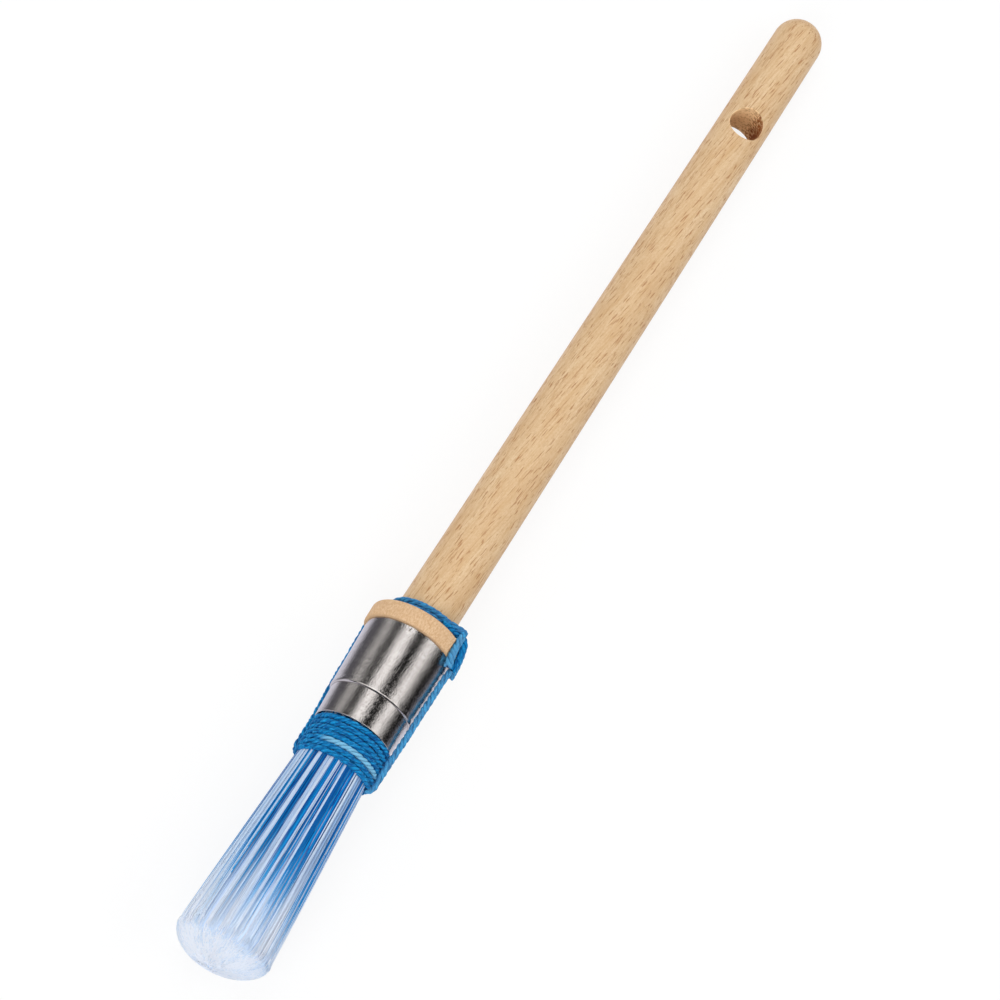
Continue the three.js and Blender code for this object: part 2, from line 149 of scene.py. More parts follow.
def fill(node, inputs):  # with links or values, by the input's place or name
    for name, value in inputs.items() if isinstance(inputs, dict) else enumerate(inputs):
        if isinstance(value, bpy.types.NodeSocket):
            node.id_data.links.new(value, node.inputs[name])
        else:
            node.inputs[name].default_value = value


def addNode(tree, kind, inputs=(), **settings):  # gives back the outputs
    node = tree.nodes.new(kind)
    for name, value in settings.items():
        setattr(node, name, value)
    fill(node, inputs)
    return node.outputs


def faceOutwards(thing):
    sameSpot = 1e-5
    form = bmesh.new()
    form.from_mesh(thing.data)
    bmesh.ops.remove_doubles(form, verts=form.verts, dist=sameSpot)
    bmesh.ops.recalc_face_normals(form, faces=form.faces)
    form.to_mesh(thing.data)
    form.free()


def meshed(name, vertices, faces):
    mesh = bpy.data.meshes.new(name)
    mesh.from_pydata(vertices, [], faces)
    thing = linked(name, mesh)
    faceOutwards(thing)
    return thing


def turned(name, profile, sides, closed=False):
    # a turned solid from (radius, height) pairs; a pair on the axis makes a pole
    vertices, rings = [], []
    for radius, height in profile:
        count = sides if radius else 1
        rings.append(range(len(vertices), len(vertices) + count))
        vertices += [around(360 * i / sides, radius, height) for i in range(count)]
    pairs = list(zip(rings, rings[1:]))
    if closed:
        pairs.append((rings[-1], rings[0]))
    faces = []
    for low, high in pairs:
        for i in range(sides):
            j = (i + 1) % sides
            corners = [low[i % len(low)], low[j % len(low)], high[j % len(high)], high[i % len(high)]]
            faces.append(list(dict.fromkeys(corners)))
    return meshed(name, vertices, faces)


def applyModifiers(thing):
    depsgraph = bpy.context.evaluated_depsgraph_get()
    done = bpy.data.meshes.new_from_object(
        thing.evaluated_get(depsgraph), preserve_all_data_layers=True, depsgraph=depsgraph
    )
    old = thing.data
    thing.modifiers.clear()
    thing.data = done
    bpy.data.meshes.remove(old)
    done.name = thing.name


def cutAway(thing, cutter):
    modifier = thing.modifiers.new("cut", "BOOLEAN")
    modifier.operation = "DIFFERENCE"
    modifier.solver = "EXACT"
    modifier.object = cutter
    modifier.material_mode = "TRANSFER" if cutter.data.materials else "INDEX"
    applyModifiers(thing)
    bpy.data.objects.remove(cutter)


def finishPiece(thing, place, slotName, *nodes, sharpAngle=None):
    if sharpAngle:  # turned pieces; what a tree makes is already smooth
        thing.data.shade_smooth()
        form = bmesh.new()
        form.from_mesh(thing.data)
        for edge in form.edges:
            edge.smooth = len(edge.link_faces) != 2 or edge.calc_face_angle() < math.radians(sharpAngle)
        form.to_mesh(thing.data)
        form.free()
    thing.data.transform(place)
    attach(thing, "root")
    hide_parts(*nodes)


def arc(centre, radius, fromAngle, toAngle, steps):
    # points of a profile's rounding, angles in degrees from the outward direction
    points = []
    for i in range(steps + 1):
        angle = math.radians(mix(fromAngle, toAngle, i / steps))
        points.append((centre[0] + radius * math.cos(angle), centre[1] + radius * math.sin(angle)))
    return points


def evenSteps(low, high, step):
    count = max(1, round(abs(high - low) / step))
    return [mix(low, high, i / count) for i in range(1, count)]


handleSizes = {
    "spigot": 13.0,
    "bottomChamfer": 0.8,
    "holeDiameter": 8.3,
    "holeFromEnd": 36.5,
    "holeLip": 0.2,  # radius of the hole's softened edge
    "lipAngles": (0, 15, 30, 45, 60, 72, 82),
    "lipRun": ((0.3, 0.06), (0.5, 2.0)),  # past the lip, how far out the cutter has risen how high
    "holeSides": 96,
    "sides": 144,
    "ringStep": 3.0,
    "holeRingStep": 0.6,
    "holeZone": 7.0,
    "domeSteps": 16,
    "sharpAngle": 40,
}
holeHeight = brush["handleReach"] - handleSizes["holeFromEnd"]


def handleRadius(height):
    foot = brush["collarThickness"]
    share = (height - foot) / (brush["handleReach"] - endRadius - foot)
    return mix(brush["handleNeckDiameter"] / 2, endRadius, min(max(share, 0), 1))


def holeCutter():
    # a pin as wide as the hole, whose ends flare along the handle's surface to round the hole's edge
    radius = handleSizes["holeDiameter"] / 2
    lip = handleSizes["holeLip"]
    side = []
    for degrees in handleSizes["lipAngles"]:
        angle = math.radians(degrees)
        side.append((radius + lip * (1 - math.cos(angle)), lip * (math.sin(angle) - 1)))
    side += [(radius + lip + out, rise) for out, rise in handleSizes["lipRun"]]
    vertices, faces = [], []
    count = handleSizes["holeSides"]
    for i in range(count):
        angle = 2 * math.pi * i / count
        column = []
        for reach, rise in side:
            x = reach * math.cos(angle)
            y = holeHeight + reach * math.sin(angle)
            column.append((x, y, math.sqrt(handleRadius(y) ** 2 - x * x) + rise))
        vertices += [(x, y, -z) for x, y, z in reversed(column)] + column
    tall = 2 * len(side)
    for i in range(count):
        j = (i + 1) % count
        for k in range(tall - 1):
            faces.append((i * tall + k, j * tall + k, j * tall + k + 1, i * tall + k + 1))
    faces.append([i * tall for i in range(count)])
    faces.append([i * tall + tall - 1 for i in range(count)])
    return meshed("holeCutter", vertices, faces)


def turnHandle(varnished, drilled):
    bottom = -handleSizes["spigot"]
    chamfer = handleSizes["bottomChamfer"]
    neck = brush["handleNeckDiameter"] / 2
    collarTop = brush["collarThickness"]
    domeStart = brush["handleReach"] - endRadius
    zoneLow = holeHeight - handleSizes["holeZone"]
    zoneHigh = holeHeight + handleSizes["holeZone"]
    profile = [(0, bottom), (neck - chamfer, bottom), (neck, bottom + chamfer), (neck, collarTop)]
    heights = evenSteps(collarTop, zoneLow, handleSizes["ringStep"]) + [zoneLow]
    heights += evenSteps(zoneLow, zoneHigh, handleSizes["holeRingStep"]) + [zoneHigh]
    heights += evenSteps(zoneHigh, domeStart, handleSizes["ringStep"])
    profile += [(handleRadius(height), height) for height in heights]
    profile += arc((0, domeStart), endRadius, 0, 90, handleSizes["domeSteps"])[:-1]
    profile.append((0, brush["handleReach"]))
    handle = turned("beechHandle", profile, handleSizes["sides"])
    handle.data.materials.append(varnished)
    cutter = holeCutter()
    cutter.data.materials.append(drilled)
    cutAway(handle, cutter)
    finishPiece(handle, handlePlace, "handle_wood", "handle", sharpAngle=handleSizes["sharpAngle"])


collarSizes = {
    "spigot": 13.0,
    "spigotRadius": 10.2,
    "boreClearance": 0.15,
    "edgeRounding": 0.32,
    "edgeSteps": 4,
    "roundingSteps": 8,
    "notchWidth": 3.2,
    "notchTilt": 5.0,
    "notchFloor": 11.05,
    "sawReach": 5.0,  # how far the notch's cutter stands out from the notch's floor
    "reamerReach": 60.0,
    "rimGap": 0.05,
    "cutRounding": 0.12,
    "cutAngle": 50,  # sharper edges than this are rounded
    "sides": 192,
    "sharpAngle": 40,
}


def notchBlock(bearing):
    form = bmesh.new()
    bmesh.ops.create_cube(form, size=1)
    mesh = bpy.data.meshes.new("notchBlock")
    form.to_mesh(mesh)
    form.free()
    reach = collarSizes["sawReach"]
    size = Matrix.Diagonal((collarSizes["notchWidth"], 4 * brush["collarThickness"], reach, 1))
    out = Matrix.Translation((0, 0, collarSizes["notchFloor"] + reach / 2))
    tilt = Matrix.Rotation(math.radians(-collarSizes["notchTilt"]), 4, "Z")
    lift = Matrix.Translation((0, brush["collarThickness"] / 2, 0))
    turn = Matrix.Rotation(math.radians(bearing), 4, "Y")
    mesh.transform(turn @ lift @ tilt @ out @ size)
    return linked("notchBlock", mesh)


def turnCollar(material):
    top = brush["collarThickness"]
    low = collarSizes["rimGap"]
    edge = collarSizes["edgeRounding"]
    rounding = brush["collarRounding"]
    spigot = collarSizes["spigotRadius"]
    profile = [(0, -collarSizes["spigot"]), (spigot, -collarSizes["spigot"]), (spigot, low)]
    profile += arc((collarRadius - edge, low + edge), edge, -90, 0, collarSizes["edgeSteps"])
    profile += arc((collarRadius - rounding, top - rounding), rounding, 0, 90, collarSizes["roundingSteps"])
    profile.append((0, top))
    collar = turned("fibreCollar", profile, collarSizes["sides"])
    bore = brush["handleNeckDiameter"] / 2 + collarSizes["boreClearance"]
    reach = collarSizes["reamerReach"]
    pin = [(0, -reach), (bore, -reach), (bore, reach), (0, reach)]
    reamer = turned("reamer", pin, collarSizes["sides"])
    reamer.data.transform(Matrix.Rotation(math.radians(-brush["headLean"]), 4, "Z"))
    cutAway(collar, reamer)
    for bearing in (brush["leftCrossing"], brush["rightCrossing"]):
        cutAway(collar, notchBlock(bearing))
    bevel = collar.modifiers.new("bevel", "BEVEL")
    bevel.width = collarSizes["cutRounding"]
    bevel.segments = 2
    bevel.limit_method = "ANGLE"
    bevel.angle_limit = math.radians(collarSizes["cutAngle"])
    applyModifiers(collar)
    collar.data.materials.append(material)
    finishPiece(collar, headPlace, "collar_fibre", "collar", sharpAngle=collarSizes["sharpAngle"])


ferruleSizes = {
    "rimRadius": 11.05,
    "shoulderRadius": 10.6,
    "waistRadius": 10.2,
    "mouthRadius": 9.9,
    "stepDepth": 17.9,
    "stepHeight": 0.65,
    "beadRise": 0.09,  # the pressed lip stands proud of the shoulder
    "beadWidth": 0.55,
    "stepRings": 12,
    "rimRounding": 0.12,
    "bluntAngle": 20,  # where the roundings of the rim and the mouth begin, off the wall's own direction
    "rimSteps": 3,
    "mouthSteps": 6,
    "ringStep": 1.0,
    "fineStep": 0.12,  # the punch marks need a fine mesh
    "fineFrom": -3.0,
    "insideEvery": 3,  # the inside has one ring to so many of the outside
    "stakeDiameter": 1.5,
    "stakeDepth": 0.11,
    "stakeDrop": 0.95,
    "stakeBearings": (-10.0, 110.0, 230.0),
    "stakeSharpness": 1.5,
    "sides": 432,
    "sharpAngle": 60,
}


def ferruleRadius(height):
    stepTop = -ferruleSizes["stepDepth"]
    if height >= stepTop:
        return mix(ferruleSizes["rimRadius"], ferruleSizes["shoulderRadius"], height / stepTop)
    waistTop = stepTop - ferruleSizes["stepHeight"]
    share = (waistTop - min(height, waistTop)) / (waistTop + brush["ferruleLength"])
    return mix(ferruleSizes["waistRadius"], ferruleSizes["mouthRadius"], share)


def ferruleSide():
    # the outside from the mouth up to the rim, with the pressed step between the two tapers
    mouth = -brush["ferruleLength"]
    stepTop = -ferruleSizes["stepDepth"]
    stepBottom = stepTop - ferruleSizes["stepHeight"]
    bead = ferruleSizes["beadWidth"]
    rounding = ferruleSizes["rimRounding"]
    fineFrom = ferruleSizes["fineFrom"]
    ringStep = ferruleSizes["ringStep"]
    heights = [mouth] + evenSteps(mouth, stepBottom - bead, ringStep) + [stepBottom - bead]
    side = [(ferruleRadius(height), height) for height in heights]
    crest = ferruleRadius(stepTop) + ferruleSizes["beadRise"]
    steps = ferruleSizes["stepRings"]
    for i in range(steps + 1):
        climb = math.radians(90 * i / steps)
        radius = mix(ferruleSizes["waistRadius"], crest, math.sin(climb))
        side.append((radius, mix(stepBottom, stepTop, 1 - math.cos(climb))))
    for i in range(1, steps + 1):
        height = mix(stepTop, stepTop + 2 * bead, i / steps)
        swell = 0.5 + 0.5 * math.cos(math.pi * i / steps)
        side.append((ferruleRadius(height) + ferruleSizes["beadRise"] * swell, height))
    heights = evenSteps(stepTop + 2 * bead, fineFrom, ringStep) + [fineFrom]
    heights += evenSteps(fineFrom, -rounding, ferruleSizes["fineStep"]) + [-rounding]
    return side + [(ferruleRadius(height), height) for height in heights]


def drawFerrule(material):
    outside = ferruleSide()
    wall = brush["ferruleWall"]
    rounding = ferruleSizes["rimRounding"]
    blunt = ferruleSizes["bluntAngle"]
    steps = ferruleSizes["rimSteps"]
    every = ferruleSizes["insideEvery"]
    inside = [(radius - wall, height) for radius, height in reversed(outside[::every])]
    rim = arc((ferruleSizes["rimRadius"] - rounding, -rounding), rounding, blunt, 90, steps)
    rim += arc((ferruleSizes["rimRadius"] - wall + rounding, -rounding), rounding, 90, 180 - blunt, steps)
    mouth = arc((ferruleSizes["mouthRadius"] - wall / 2, -brush["ferruleLength"]), wall / 2,
                blunt - 180, -blunt, ferruleSizes["mouthSteps"])
    ferrule = turned("steelFerrule", outside + rim + inside + mouth, ferruleSizes["sides"], closed=True)
    stakeRadius = ferruleSizes["stakeDiameter"] / 2
    drop = -ferruleSizes["stakeDrop"]
    stakes = [around(bearing, ferruleRadius(drop), drop) for bearing in ferruleSizes["stakeBearings"]]
    for vertex in ferrule.data.vertices:
        for stake in stakes:
            reach = (vertex.co - stake).length / stakeRadius
            if reach < 2:
                dent = ferruleSizes["stakeDepth"] * math.exp(-(ferruleSizes["stakeSharpness"] * reach) ** 2)
                vertex.co -= Vector((stake.x, 0, stake.z)).normalized() * dent
    ferrule.data.materials.append(material)
    finishPiece(ferrule, headPlace, "ferrule_steel", "ferrule", sharpAngle=ferruleSizes["sharpAngle"])


def startTree(name, settings, others):  # its inputs are named as the settings are
    tree = bpy.data.node_groups.new(name, "GeometryNodeTree")
    kinds = {label: "Int" if isinstance(value, int) else "Float" for label, value in settings.items()}
    for label, kind in ({"Geometry": "Geometry"} | kinds | others).items():
        tree.interface.new_socket(label, in_out="INPUT", socket_type="NodeSocket" + kind)
    tree.interface.new_socket("Geometry", in_out="OUTPUT", socket_type="NodeSocketGeometry")
    return tree, addNode(tree, "NodeGroupInput"), partial(addNode, tree)


def endTree(tree, mesh, material):
    smooth = addNode(tree, "GeometryNodeSetShadeSmooth", {"Geometry": mesh})[0]
    real = addNode(tree, "GeometryNodeRealizeInstances", {"Geometry": smooth})[0]
    dressed = addNode(tree, "GeometryNodeSetMaterial", {"Geometry": real, "Material": material})[0]
    addNode(tree, "NodeGroupOutput", {"Geometry": dressed})


def grow(name, points, tree, values):  # along a line through the points
    mesh = bpy.data.meshes.new(name)
    mesh.from_pydata(points, [(i, i + 1) for i in range(len(points) - 1)], [])
    thing = linked(name, mesh)
    modifier = thing.modifiers.new(tree.name, "NODES")
    modifier.node_group = tree
    for item in tree.interface.items_tree:
        if item.in_out == "INPUT" and item.name in values:
            modifier[item.identifier] = values[item.name]
    applyModifiers(thing)
    print(name, len(thing.data.polygons), "faces")
    return thing


filaments = {
    "Count": 9000,
    "Crowding": 0.28,  # 0.5 fills the head evenly, and less crowds them towards its outside
    "Widest": 1.0,
    "Per Bundle": 5,
    "Bundle Spread": 0.018,  # half a bundle's width, against the head's radius
    "Locks": 170,  # wedges of the head in which most bundles have one colour
    "Strays": 0.08,  # share of the bundles that have the other colour
    "Blueness": 1.15,
    "Diameter": 0.21,  # thicker than the real ones, so that fewer fill the head
    "Tip Share": 0.95,
    "Sides": 3,
    "Drift": math.radians(5),  # how far a bundle wanders round the head by its tip
    "Own Drift": math.radians(1.8),
    "Waist Height": -36.0,
    "Reach": 92.5,
    "Dome Height": 6.8,
    "Dome Share": 0.99,
    "Dome Lean": 0.5,  # how much the dome falls back towards +X
    "Tip Scatter": 0.12,
    "Turn In": 0.3,  # how far the tips may lean in over the dome, as a share of the way to its middle
    "Tip Lift": 0.12,
    "Bulge": 0.2,  # the head is a little fuller towards +X
    "Seed": 7,
}
# the chance that a lock is blue, from bearing to bearing round the head
blueBands = (
    (-180, 0.7), (-170, 0.2), (-161, 0.8), (-150, 0.6), (-141, 0.15), (-130, 0.9), (-121, 0.4),
    (-110, 0.75), (-99, 0.2), (-90, 0.6), (-82, 0.05), (-56, 0.05), (-52, 1), (-48, 0.75), (-38, 0.7),
    (-33, 0.05), (-27, 0.1), (-24, 0.75), (-20.5, 0.6), (-18, 0), (-14.5, 0.1), (-12, 0.85), (-7, 0.8),
    (-4, 0.35), (-1, 0.35), (1.5, 0.8), (4.5, 0), (7.5, 1), (10, 0.2), (13, 1), (16, 1), (19, 0.4),
    (22, 1), (28.5, 1), (32, 0.3), (36, 0), (47, 0), (51, 1), (53.5, 0.8), (57.5, 0.05), (63, 1),
    (66, 0.9), (72, 0.2), (80, 0.85), (92, 0.2), (101, 0.7), (111, 0.3), (120, 0.9), (131, 0.2),
    (140, 0.65), (149, 0.85), (160, 0.3), (170, 0.5), (180, 0.7),
)
# the head's radius and height, from the roots in the resin to the tips, and how far over the dome that is
filamentOutline = (
    (9.3, -16.95, 0), (8.5, -30.0, 0), (10.25, -60.0, 0), (11.65, -85.0, 0),
    (11.85, -92.4, 0.5), (11.85, -92.4, 1),
)


def filamentTree():
    tree, given, add = startTree("filaments", filaments, {"Blue": "Bool", "Material": "Material"})
    outline = add("GeometryNodeMeshToCurve", {"Mesh": given["Geometry"]})[0]
    copies = add("GeometryNodeDuplicateElements", {"Geometry": outline, "Amount": given["Count"]},
                 domain="SPLINE")
    number = copies["Duplicate Index"]
    bundle = add("ShaderNodeMath", [number, given["Per Bundle"]], operation="DIVIDE")[0]
    bundle = add("ShaderNodeMath", [bundle], operation="FLOOR")[0]

    # what each bundle and each filament draws, between two bounds
    minusDrift = add("ShaderNodeMath", [given["Drift"], -1.0], operation="MULTIPLY")[0]
    minusOwnDrift = add("ShaderNodeMath", [given["Own Drift"], -1.0], operation="MULTIPLY")[0]
    drawn = {}
    for name, drawer, seed, least, most in (
        ("radius", bundle, given["Seed"], 0.0, 1.0),
        ("turn", bundle, 102, 0.0, 1.0),
        ("drift", bundle, 104, minusDrift, given["Drift"]),
        ("ownDrift", number, 105, minusOwnDrift, given["Own Drift"]),
        ("scatter", number, 106, 0.0, given["Tip Scatter"]),
        ("bundleTone", bundle, 107, 0.0, 1.0),
        ("ownTone", number, 108, 0.0, 1.0),
        ("lock", bundle, 109, 0.0, given["Locks"]),
        ("turnIn", number, 112, 0.0, 1.0),
    ):
        drawn[name] = add("FunctionNodeRandomValue", {2: least, 3: most, "ID": drawer, "Seed": seed})[1]

    # golden steps from lock to lock, held against the chance there, keep blue and white well mixed
    goldenShare = 0.618034
    firstLock = 0.75  # lock 0 stands at bearing 90, three quarters of the way round from -180
    lock = add("ShaderNodeMath", [drawn["lock"]], operation="FLOOR")[0]
    draw = add("ShaderNodeMath", [lock, goldenShare], operation="MULTIPLY")[0]
    draw = add("ShaderNodeMath", [draw], operation="FRACT")[0]
    bearing = add("ShaderNodeMath", [lock, given["Locks"]], operation="DIVIDE")[0]
    bearing = add("ShaderNodeMath", [bearing, firstLock])[0]
    bearing = add("ShaderNodeMath", [bearing], operation="FRACT")[0]
    chance = add("ShaderNodeFloatCurve", {"Value": bearing})[0]
    curve = chance.node.mapping.curves[0]
    curve.points[0].location = (0, blueBands[0][1])
    curve.points[1].location = (1, blueBands[-1][1])
    for degrees, share in blueBands[1:-1]:
        curve.points.new(degrees / 360 + 0.5, share)
    for point in curve.points:
        point.handle_type = "VECTOR"
    chance.node.mapping.update()
    chance = add("ShaderNodeMath", [chance, given["Blueness"]], operation="MULTIPLY")[0]
    blue = add("FunctionNodeCompare", [draw, chance], operation="LESS_THAN")[0]
    stray = add("FunctionNodeRandomValue", {"Probability": given["Strays"], "ID": bundle, "Seed": 110},
                data_type="BOOLEAN")[3]
    blue = add("FunctionNodeBooleanMath", [blue, stray], operation="XOR")[0]
    other = add("FunctionNodeBooleanMath", [blue, given["Blue"]], operation="XOR")[0]
    curves = add("GeometryNodeDeleteGeometry", {"Geometry": copies["Geometry"], "Selection": other},
                 domain="CURVE")[0]

    # the bundle's place in a disc of radius 1, and the filament's place in its bundle
    far = add("ShaderNodeMath", [drawn["radius"], given["Crowding"]], operation="POWER")[0]
    far = add("ShaderNodeMath", [far, given["Widest"]], operation="MULTIPLY")[0]
    turn = add("ShaderNodeMath", [drawn["turn"], lock])[0]
    turn = add("ShaderNodeMath", [turn, given["Locks"]], operation="DIVIDE")[0]
    turn = add("ShaderNodeMath", [turn, 2 * math.pi], operation="MULTIPLY")[0]
    start = add("ShaderNodeCombineXYZ", [far, 0.0, 0.0])[0]
    middle = add("ShaderNodeVectorRotate", {"Vector": start, "Angle": turn}, rotation_type="Y_AXIS")[0]
    beside = add("FunctionNodeRandomValue", {0: (-1, 0, -1), 1: (1, 0, 1), "ID": number, "Seed": 103},
                 data_type="FLOAT_VECTOR")[0]
    beside = add("ShaderNodeVectorMath", {"Vector": beside, "Scale": given["Bundle Spread"]},
                 operation="SCALE")[0]
    spot = add("ShaderNodeVectorMath", [middle, beside])[0]
    length = add("ShaderNodeVectorMath", [spot], operation="LENGTH")[1]
    length = add("ShaderNodeMath", [length, 1.0], operation="MINIMUM")[0]
    heading = add("ShaderNodeVectorMath", [spot], operation="NORMALIZE")[0]
    unbent = add("ShaderNodeVectorMath", {"Vector": heading, "Scale": length}, operation="SCALE")[0]

    # below the waist it wanders round the head, and on the dome it leans in
    lateBend = 1.5
    fewLean = 1.7  # most tips lean in little
    reach, height, over = add("ShaderNodeSeparateXYZ", [add("GeometryNodeInputPosition")[0]])
    lowest = add("ShaderNodeMath", [given["Reach"], -1.0], operation="MULTIPLY")[0]
    below = add("ShaderNodeMapRange", [height, given["Waist Height"], lowest])[0]
    bend = add("ShaderNodeMath", [below, lateBend], operation="POWER")[0]
    drift = add("ShaderNodeMath", [drawn["drift"], drawn["ownDrift"]])[0]
    drift = add("ShaderNodeMath", [drift, bend], operation="MULTIPLY")[0]
    spot = add("ShaderNodeVectorRotate", {"Vector": unbent, "Angle": drift}, rotation_type="Y_AXIS")[0]
    turnIn = add("ShaderNodeMath", [drawn["turnIn"], fewLean], operation="POWER")[0]
    for factor in (given["Turn In"], over):
        turnIn = add("ShaderNodeMath", [turnIn, factor], operation="MULTIPLY")[0]
    stay = add("ShaderNodeMath", [1.0, turnIn], operation="SUBTRACT")[0]
    reach = add("ShaderNodeMath", [reach, stay], operation="MULTIPLY")[0]
    spot = add("ShaderNodeVectorMath", {"Vector": spot, "Scale": reach}, operation="SCALE")[0]

    # the further out, the higher up the dome it ends
    out = length
    for factor in (stay, given["Dome Share"]):
        out = add("ShaderNodeMath", [out, factor], operation="MULTIPLY")[0]
    out = add("ShaderNodeMath", [out, out], operation="MULTIPLY")[0]
    out = add("ShaderNodeMath", [1.0, out], operation="SUBTRACT")[0]
    out = add("ShaderNodeMath", [out], operation="SQRT")[0]
    out = add("ShaderNodeMath", [1.0, out], operation="SUBTRACT")[0]
    rise = add("ShaderNodeMath", [out, given["Dome Height"]], operation="MULTIPLY")[0]
    sideways = add("ShaderNodeSeparateXYZ", [unbent])[0]
    fallBack = add("ShaderNodeMath", [sideways, given["Dome Lean"]], operation="MULTIPLY")[0]
    before = add("ShaderNodeMath", [1.0, over], operation="SUBTRACT")[0]
    before = add("ShaderNodeMath", [before, given["Tip Lift"]], operation="MULTIPLY")[0]
    for more in (drawn["scatter"], fallBack, before):
        rise = add("ShaderNodeMath", [rise, more])[0]
    shoulder = 0.01
    onDome = add("ShaderNodeMath", [over, shoulder], operation="GREATER_THAN")[0]
    rise = add("ShaderNodeMath", [rise, onDome], operation="MULTIPLY")[0]
    height = add("ShaderNodeMath", [height, rise])[0]
    aside = add("ShaderNodeMath", [below, given["Bulge"]], operation="MULTIPLY")[0]
    upwards = add("ShaderNodeCombineXYZ", [aside, height, 0.0])[0]
    spot = add("ShaderNodeVectorMath", [spot, upwards])[0]

    # what the material reads: the tone of the bundle and of the filament, and how far it is from the rim
    lockShare = 0.4
    lockTone = add("FunctionNodeRandomValue", {"ID": lock, "Seed": 111})[1]
    tone = add("ShaderNodeMix", {"Factor": lockShare, 2: drawn["bundleTone"], 3: lockTone})[0]
    thick = add("ShaderNodeMapRange", [below, 0.0, 1.0, 1.0, given["Tip Share"]])[0]
    for factor in (given["Diameter"], 0.5):
        thick = add("ShaderNodeMath", [thick, factor], operation="MULTIPLY")[0]
    notes = {"bundleTone": tone, "ownTone": drawn["ownTone"], "height": height, "thick": thick}
    for name, value in notes.items():
        curves = add("GeometryNodeStoreNamedAttribute",
                     {"Geometry": curves, "Name": name, "Value": value})[0]
    curves = add("GeometryNodeSetPosition", {"Geometry": curves, "Position": spot})[0]
    thick = add("GeometryNodeInputNamedAttribute", {"Name": "thick"})[0]
    section = add("GeometryNodeCurvePrimitiveCircle", {"Resolution": given["Sides"], "Radius": 1.0})[0]
    mesh = add("GeometryNodeCurveToMesh",
               {"Curve": curves, "Profile Curve": section, "Scale": thick, "Fill Caps": True})[0]
    mesh = add("GeometryNodeRemoveAttribute", {"Geometry": mesh, "Name": "thick"})[0]
    endTree(tree, mesh, given["Material"])
    return tree


# the tips of the filaments in the middle, which show only on the dome
innerTips = {
    "Count": 9000,
    "Crowding": 0.5,
    "Widest": 0.93,
    "Per Bundle": 5,
    "Diameter": 0.24,
    "Tip Share": 1.0,
    "Strays": 0.0,
    "Blueness": 0.0,
}
# the filaments behind the outer ones are packed so close that they are drawn as one body
packedCore = {
    "share": 0.96,  # of the head's radius
    "domeShares": (0.93, 0.88, 0.8, 0.7, 0.55, 0.4, 0.2, 0),  # of that radius, for its rings on the dome
    "behindTips": 0.3,
    "paleFrom": -112.0,  # along the brush from the middle of the part
    "paleTo": -132.0,
    "sides": 128,
    "sharpAngle": 60,
}


def growFilaments(blue, white):
    tree = filamentTree()
    pieces = (
        ("blueFilaments", blue, True, filamentOutline, {}, "filament_blue", ["bristles_blue"]),
        ("whiteFilaments", white, False, filamentOutline, {}, "filament_white", ["bristles_white"]),
        ("innerTips", white, False, filamentOutline[-3:], innerTips, "filament_white", []),
    )
    for name, material, isBlue, outline, changes, slotName, nodes in pieces:
        head = grow(name, outline, tree, filaments | changes | {"Blue": isBlue, "Material": material})
        finishPiece(head, headPlace, slotName, *nodes)


def packCore(material):
    stem = [(radius * packedCore["share"], height) for radius, height, over in filamentOutline if not over]
    shoulder = stem[-1][1]
    profile = [(0, stem[0][1])] + stem
    widest = filamentOutline[-1][0]
    tip = -filaments["Reach"] + packedCore["behindTips"]
    for out in packedCore["domeShares"]:
        rise = filaments["Dome Height"] * (1 - math.sqrt(1 - (out * filaments["Dome Share"]) ** 2))
        profile.append((widest * out, tip + rise))
    core = turned("packedFilaments", profile, packedCore["sides"])
    waist = filaments["Waist Height"]
    for vertex in core.data.vertices:
        below = min(max((waist - vertex.co.y) / (filaments["Reach"] + waist), 0), 1)
        if vertex.co.y < shoulder - 0.1:
            vertex.co.y += filaments["Dome Lean"] * vertex.co.x / widest
        vertex.co.x += filaments["Bulge"] * below
    core.data.materials.append(material)
    finishPiece(core, headPlace, "filament_white", sharpAngle=packedCore["sharpAngle"])


twine = {
    "Diameter": brush["twineDiameter"],
    "Plies": 3,
    "Ply Share": 0.55,  # of the twine's thickness
    "Lay": 4.8,
    "Step": 0.34,
    "Sides": 9,
    "Unevenness": 0.08,
    "Slack": 1.3,  # how unevenly it is laid, in radians
    "Pale From": -1.0,
    "Pale To": -1.0,
    "Pale Fade": 2.5,
    # how much paler the whole piece is drawn, towards the pale tone
    "Paleness": 0.0,
    "Fray From": 1.0,  # share of its length past which the plies come apart
    "Fray": 0.0,
}


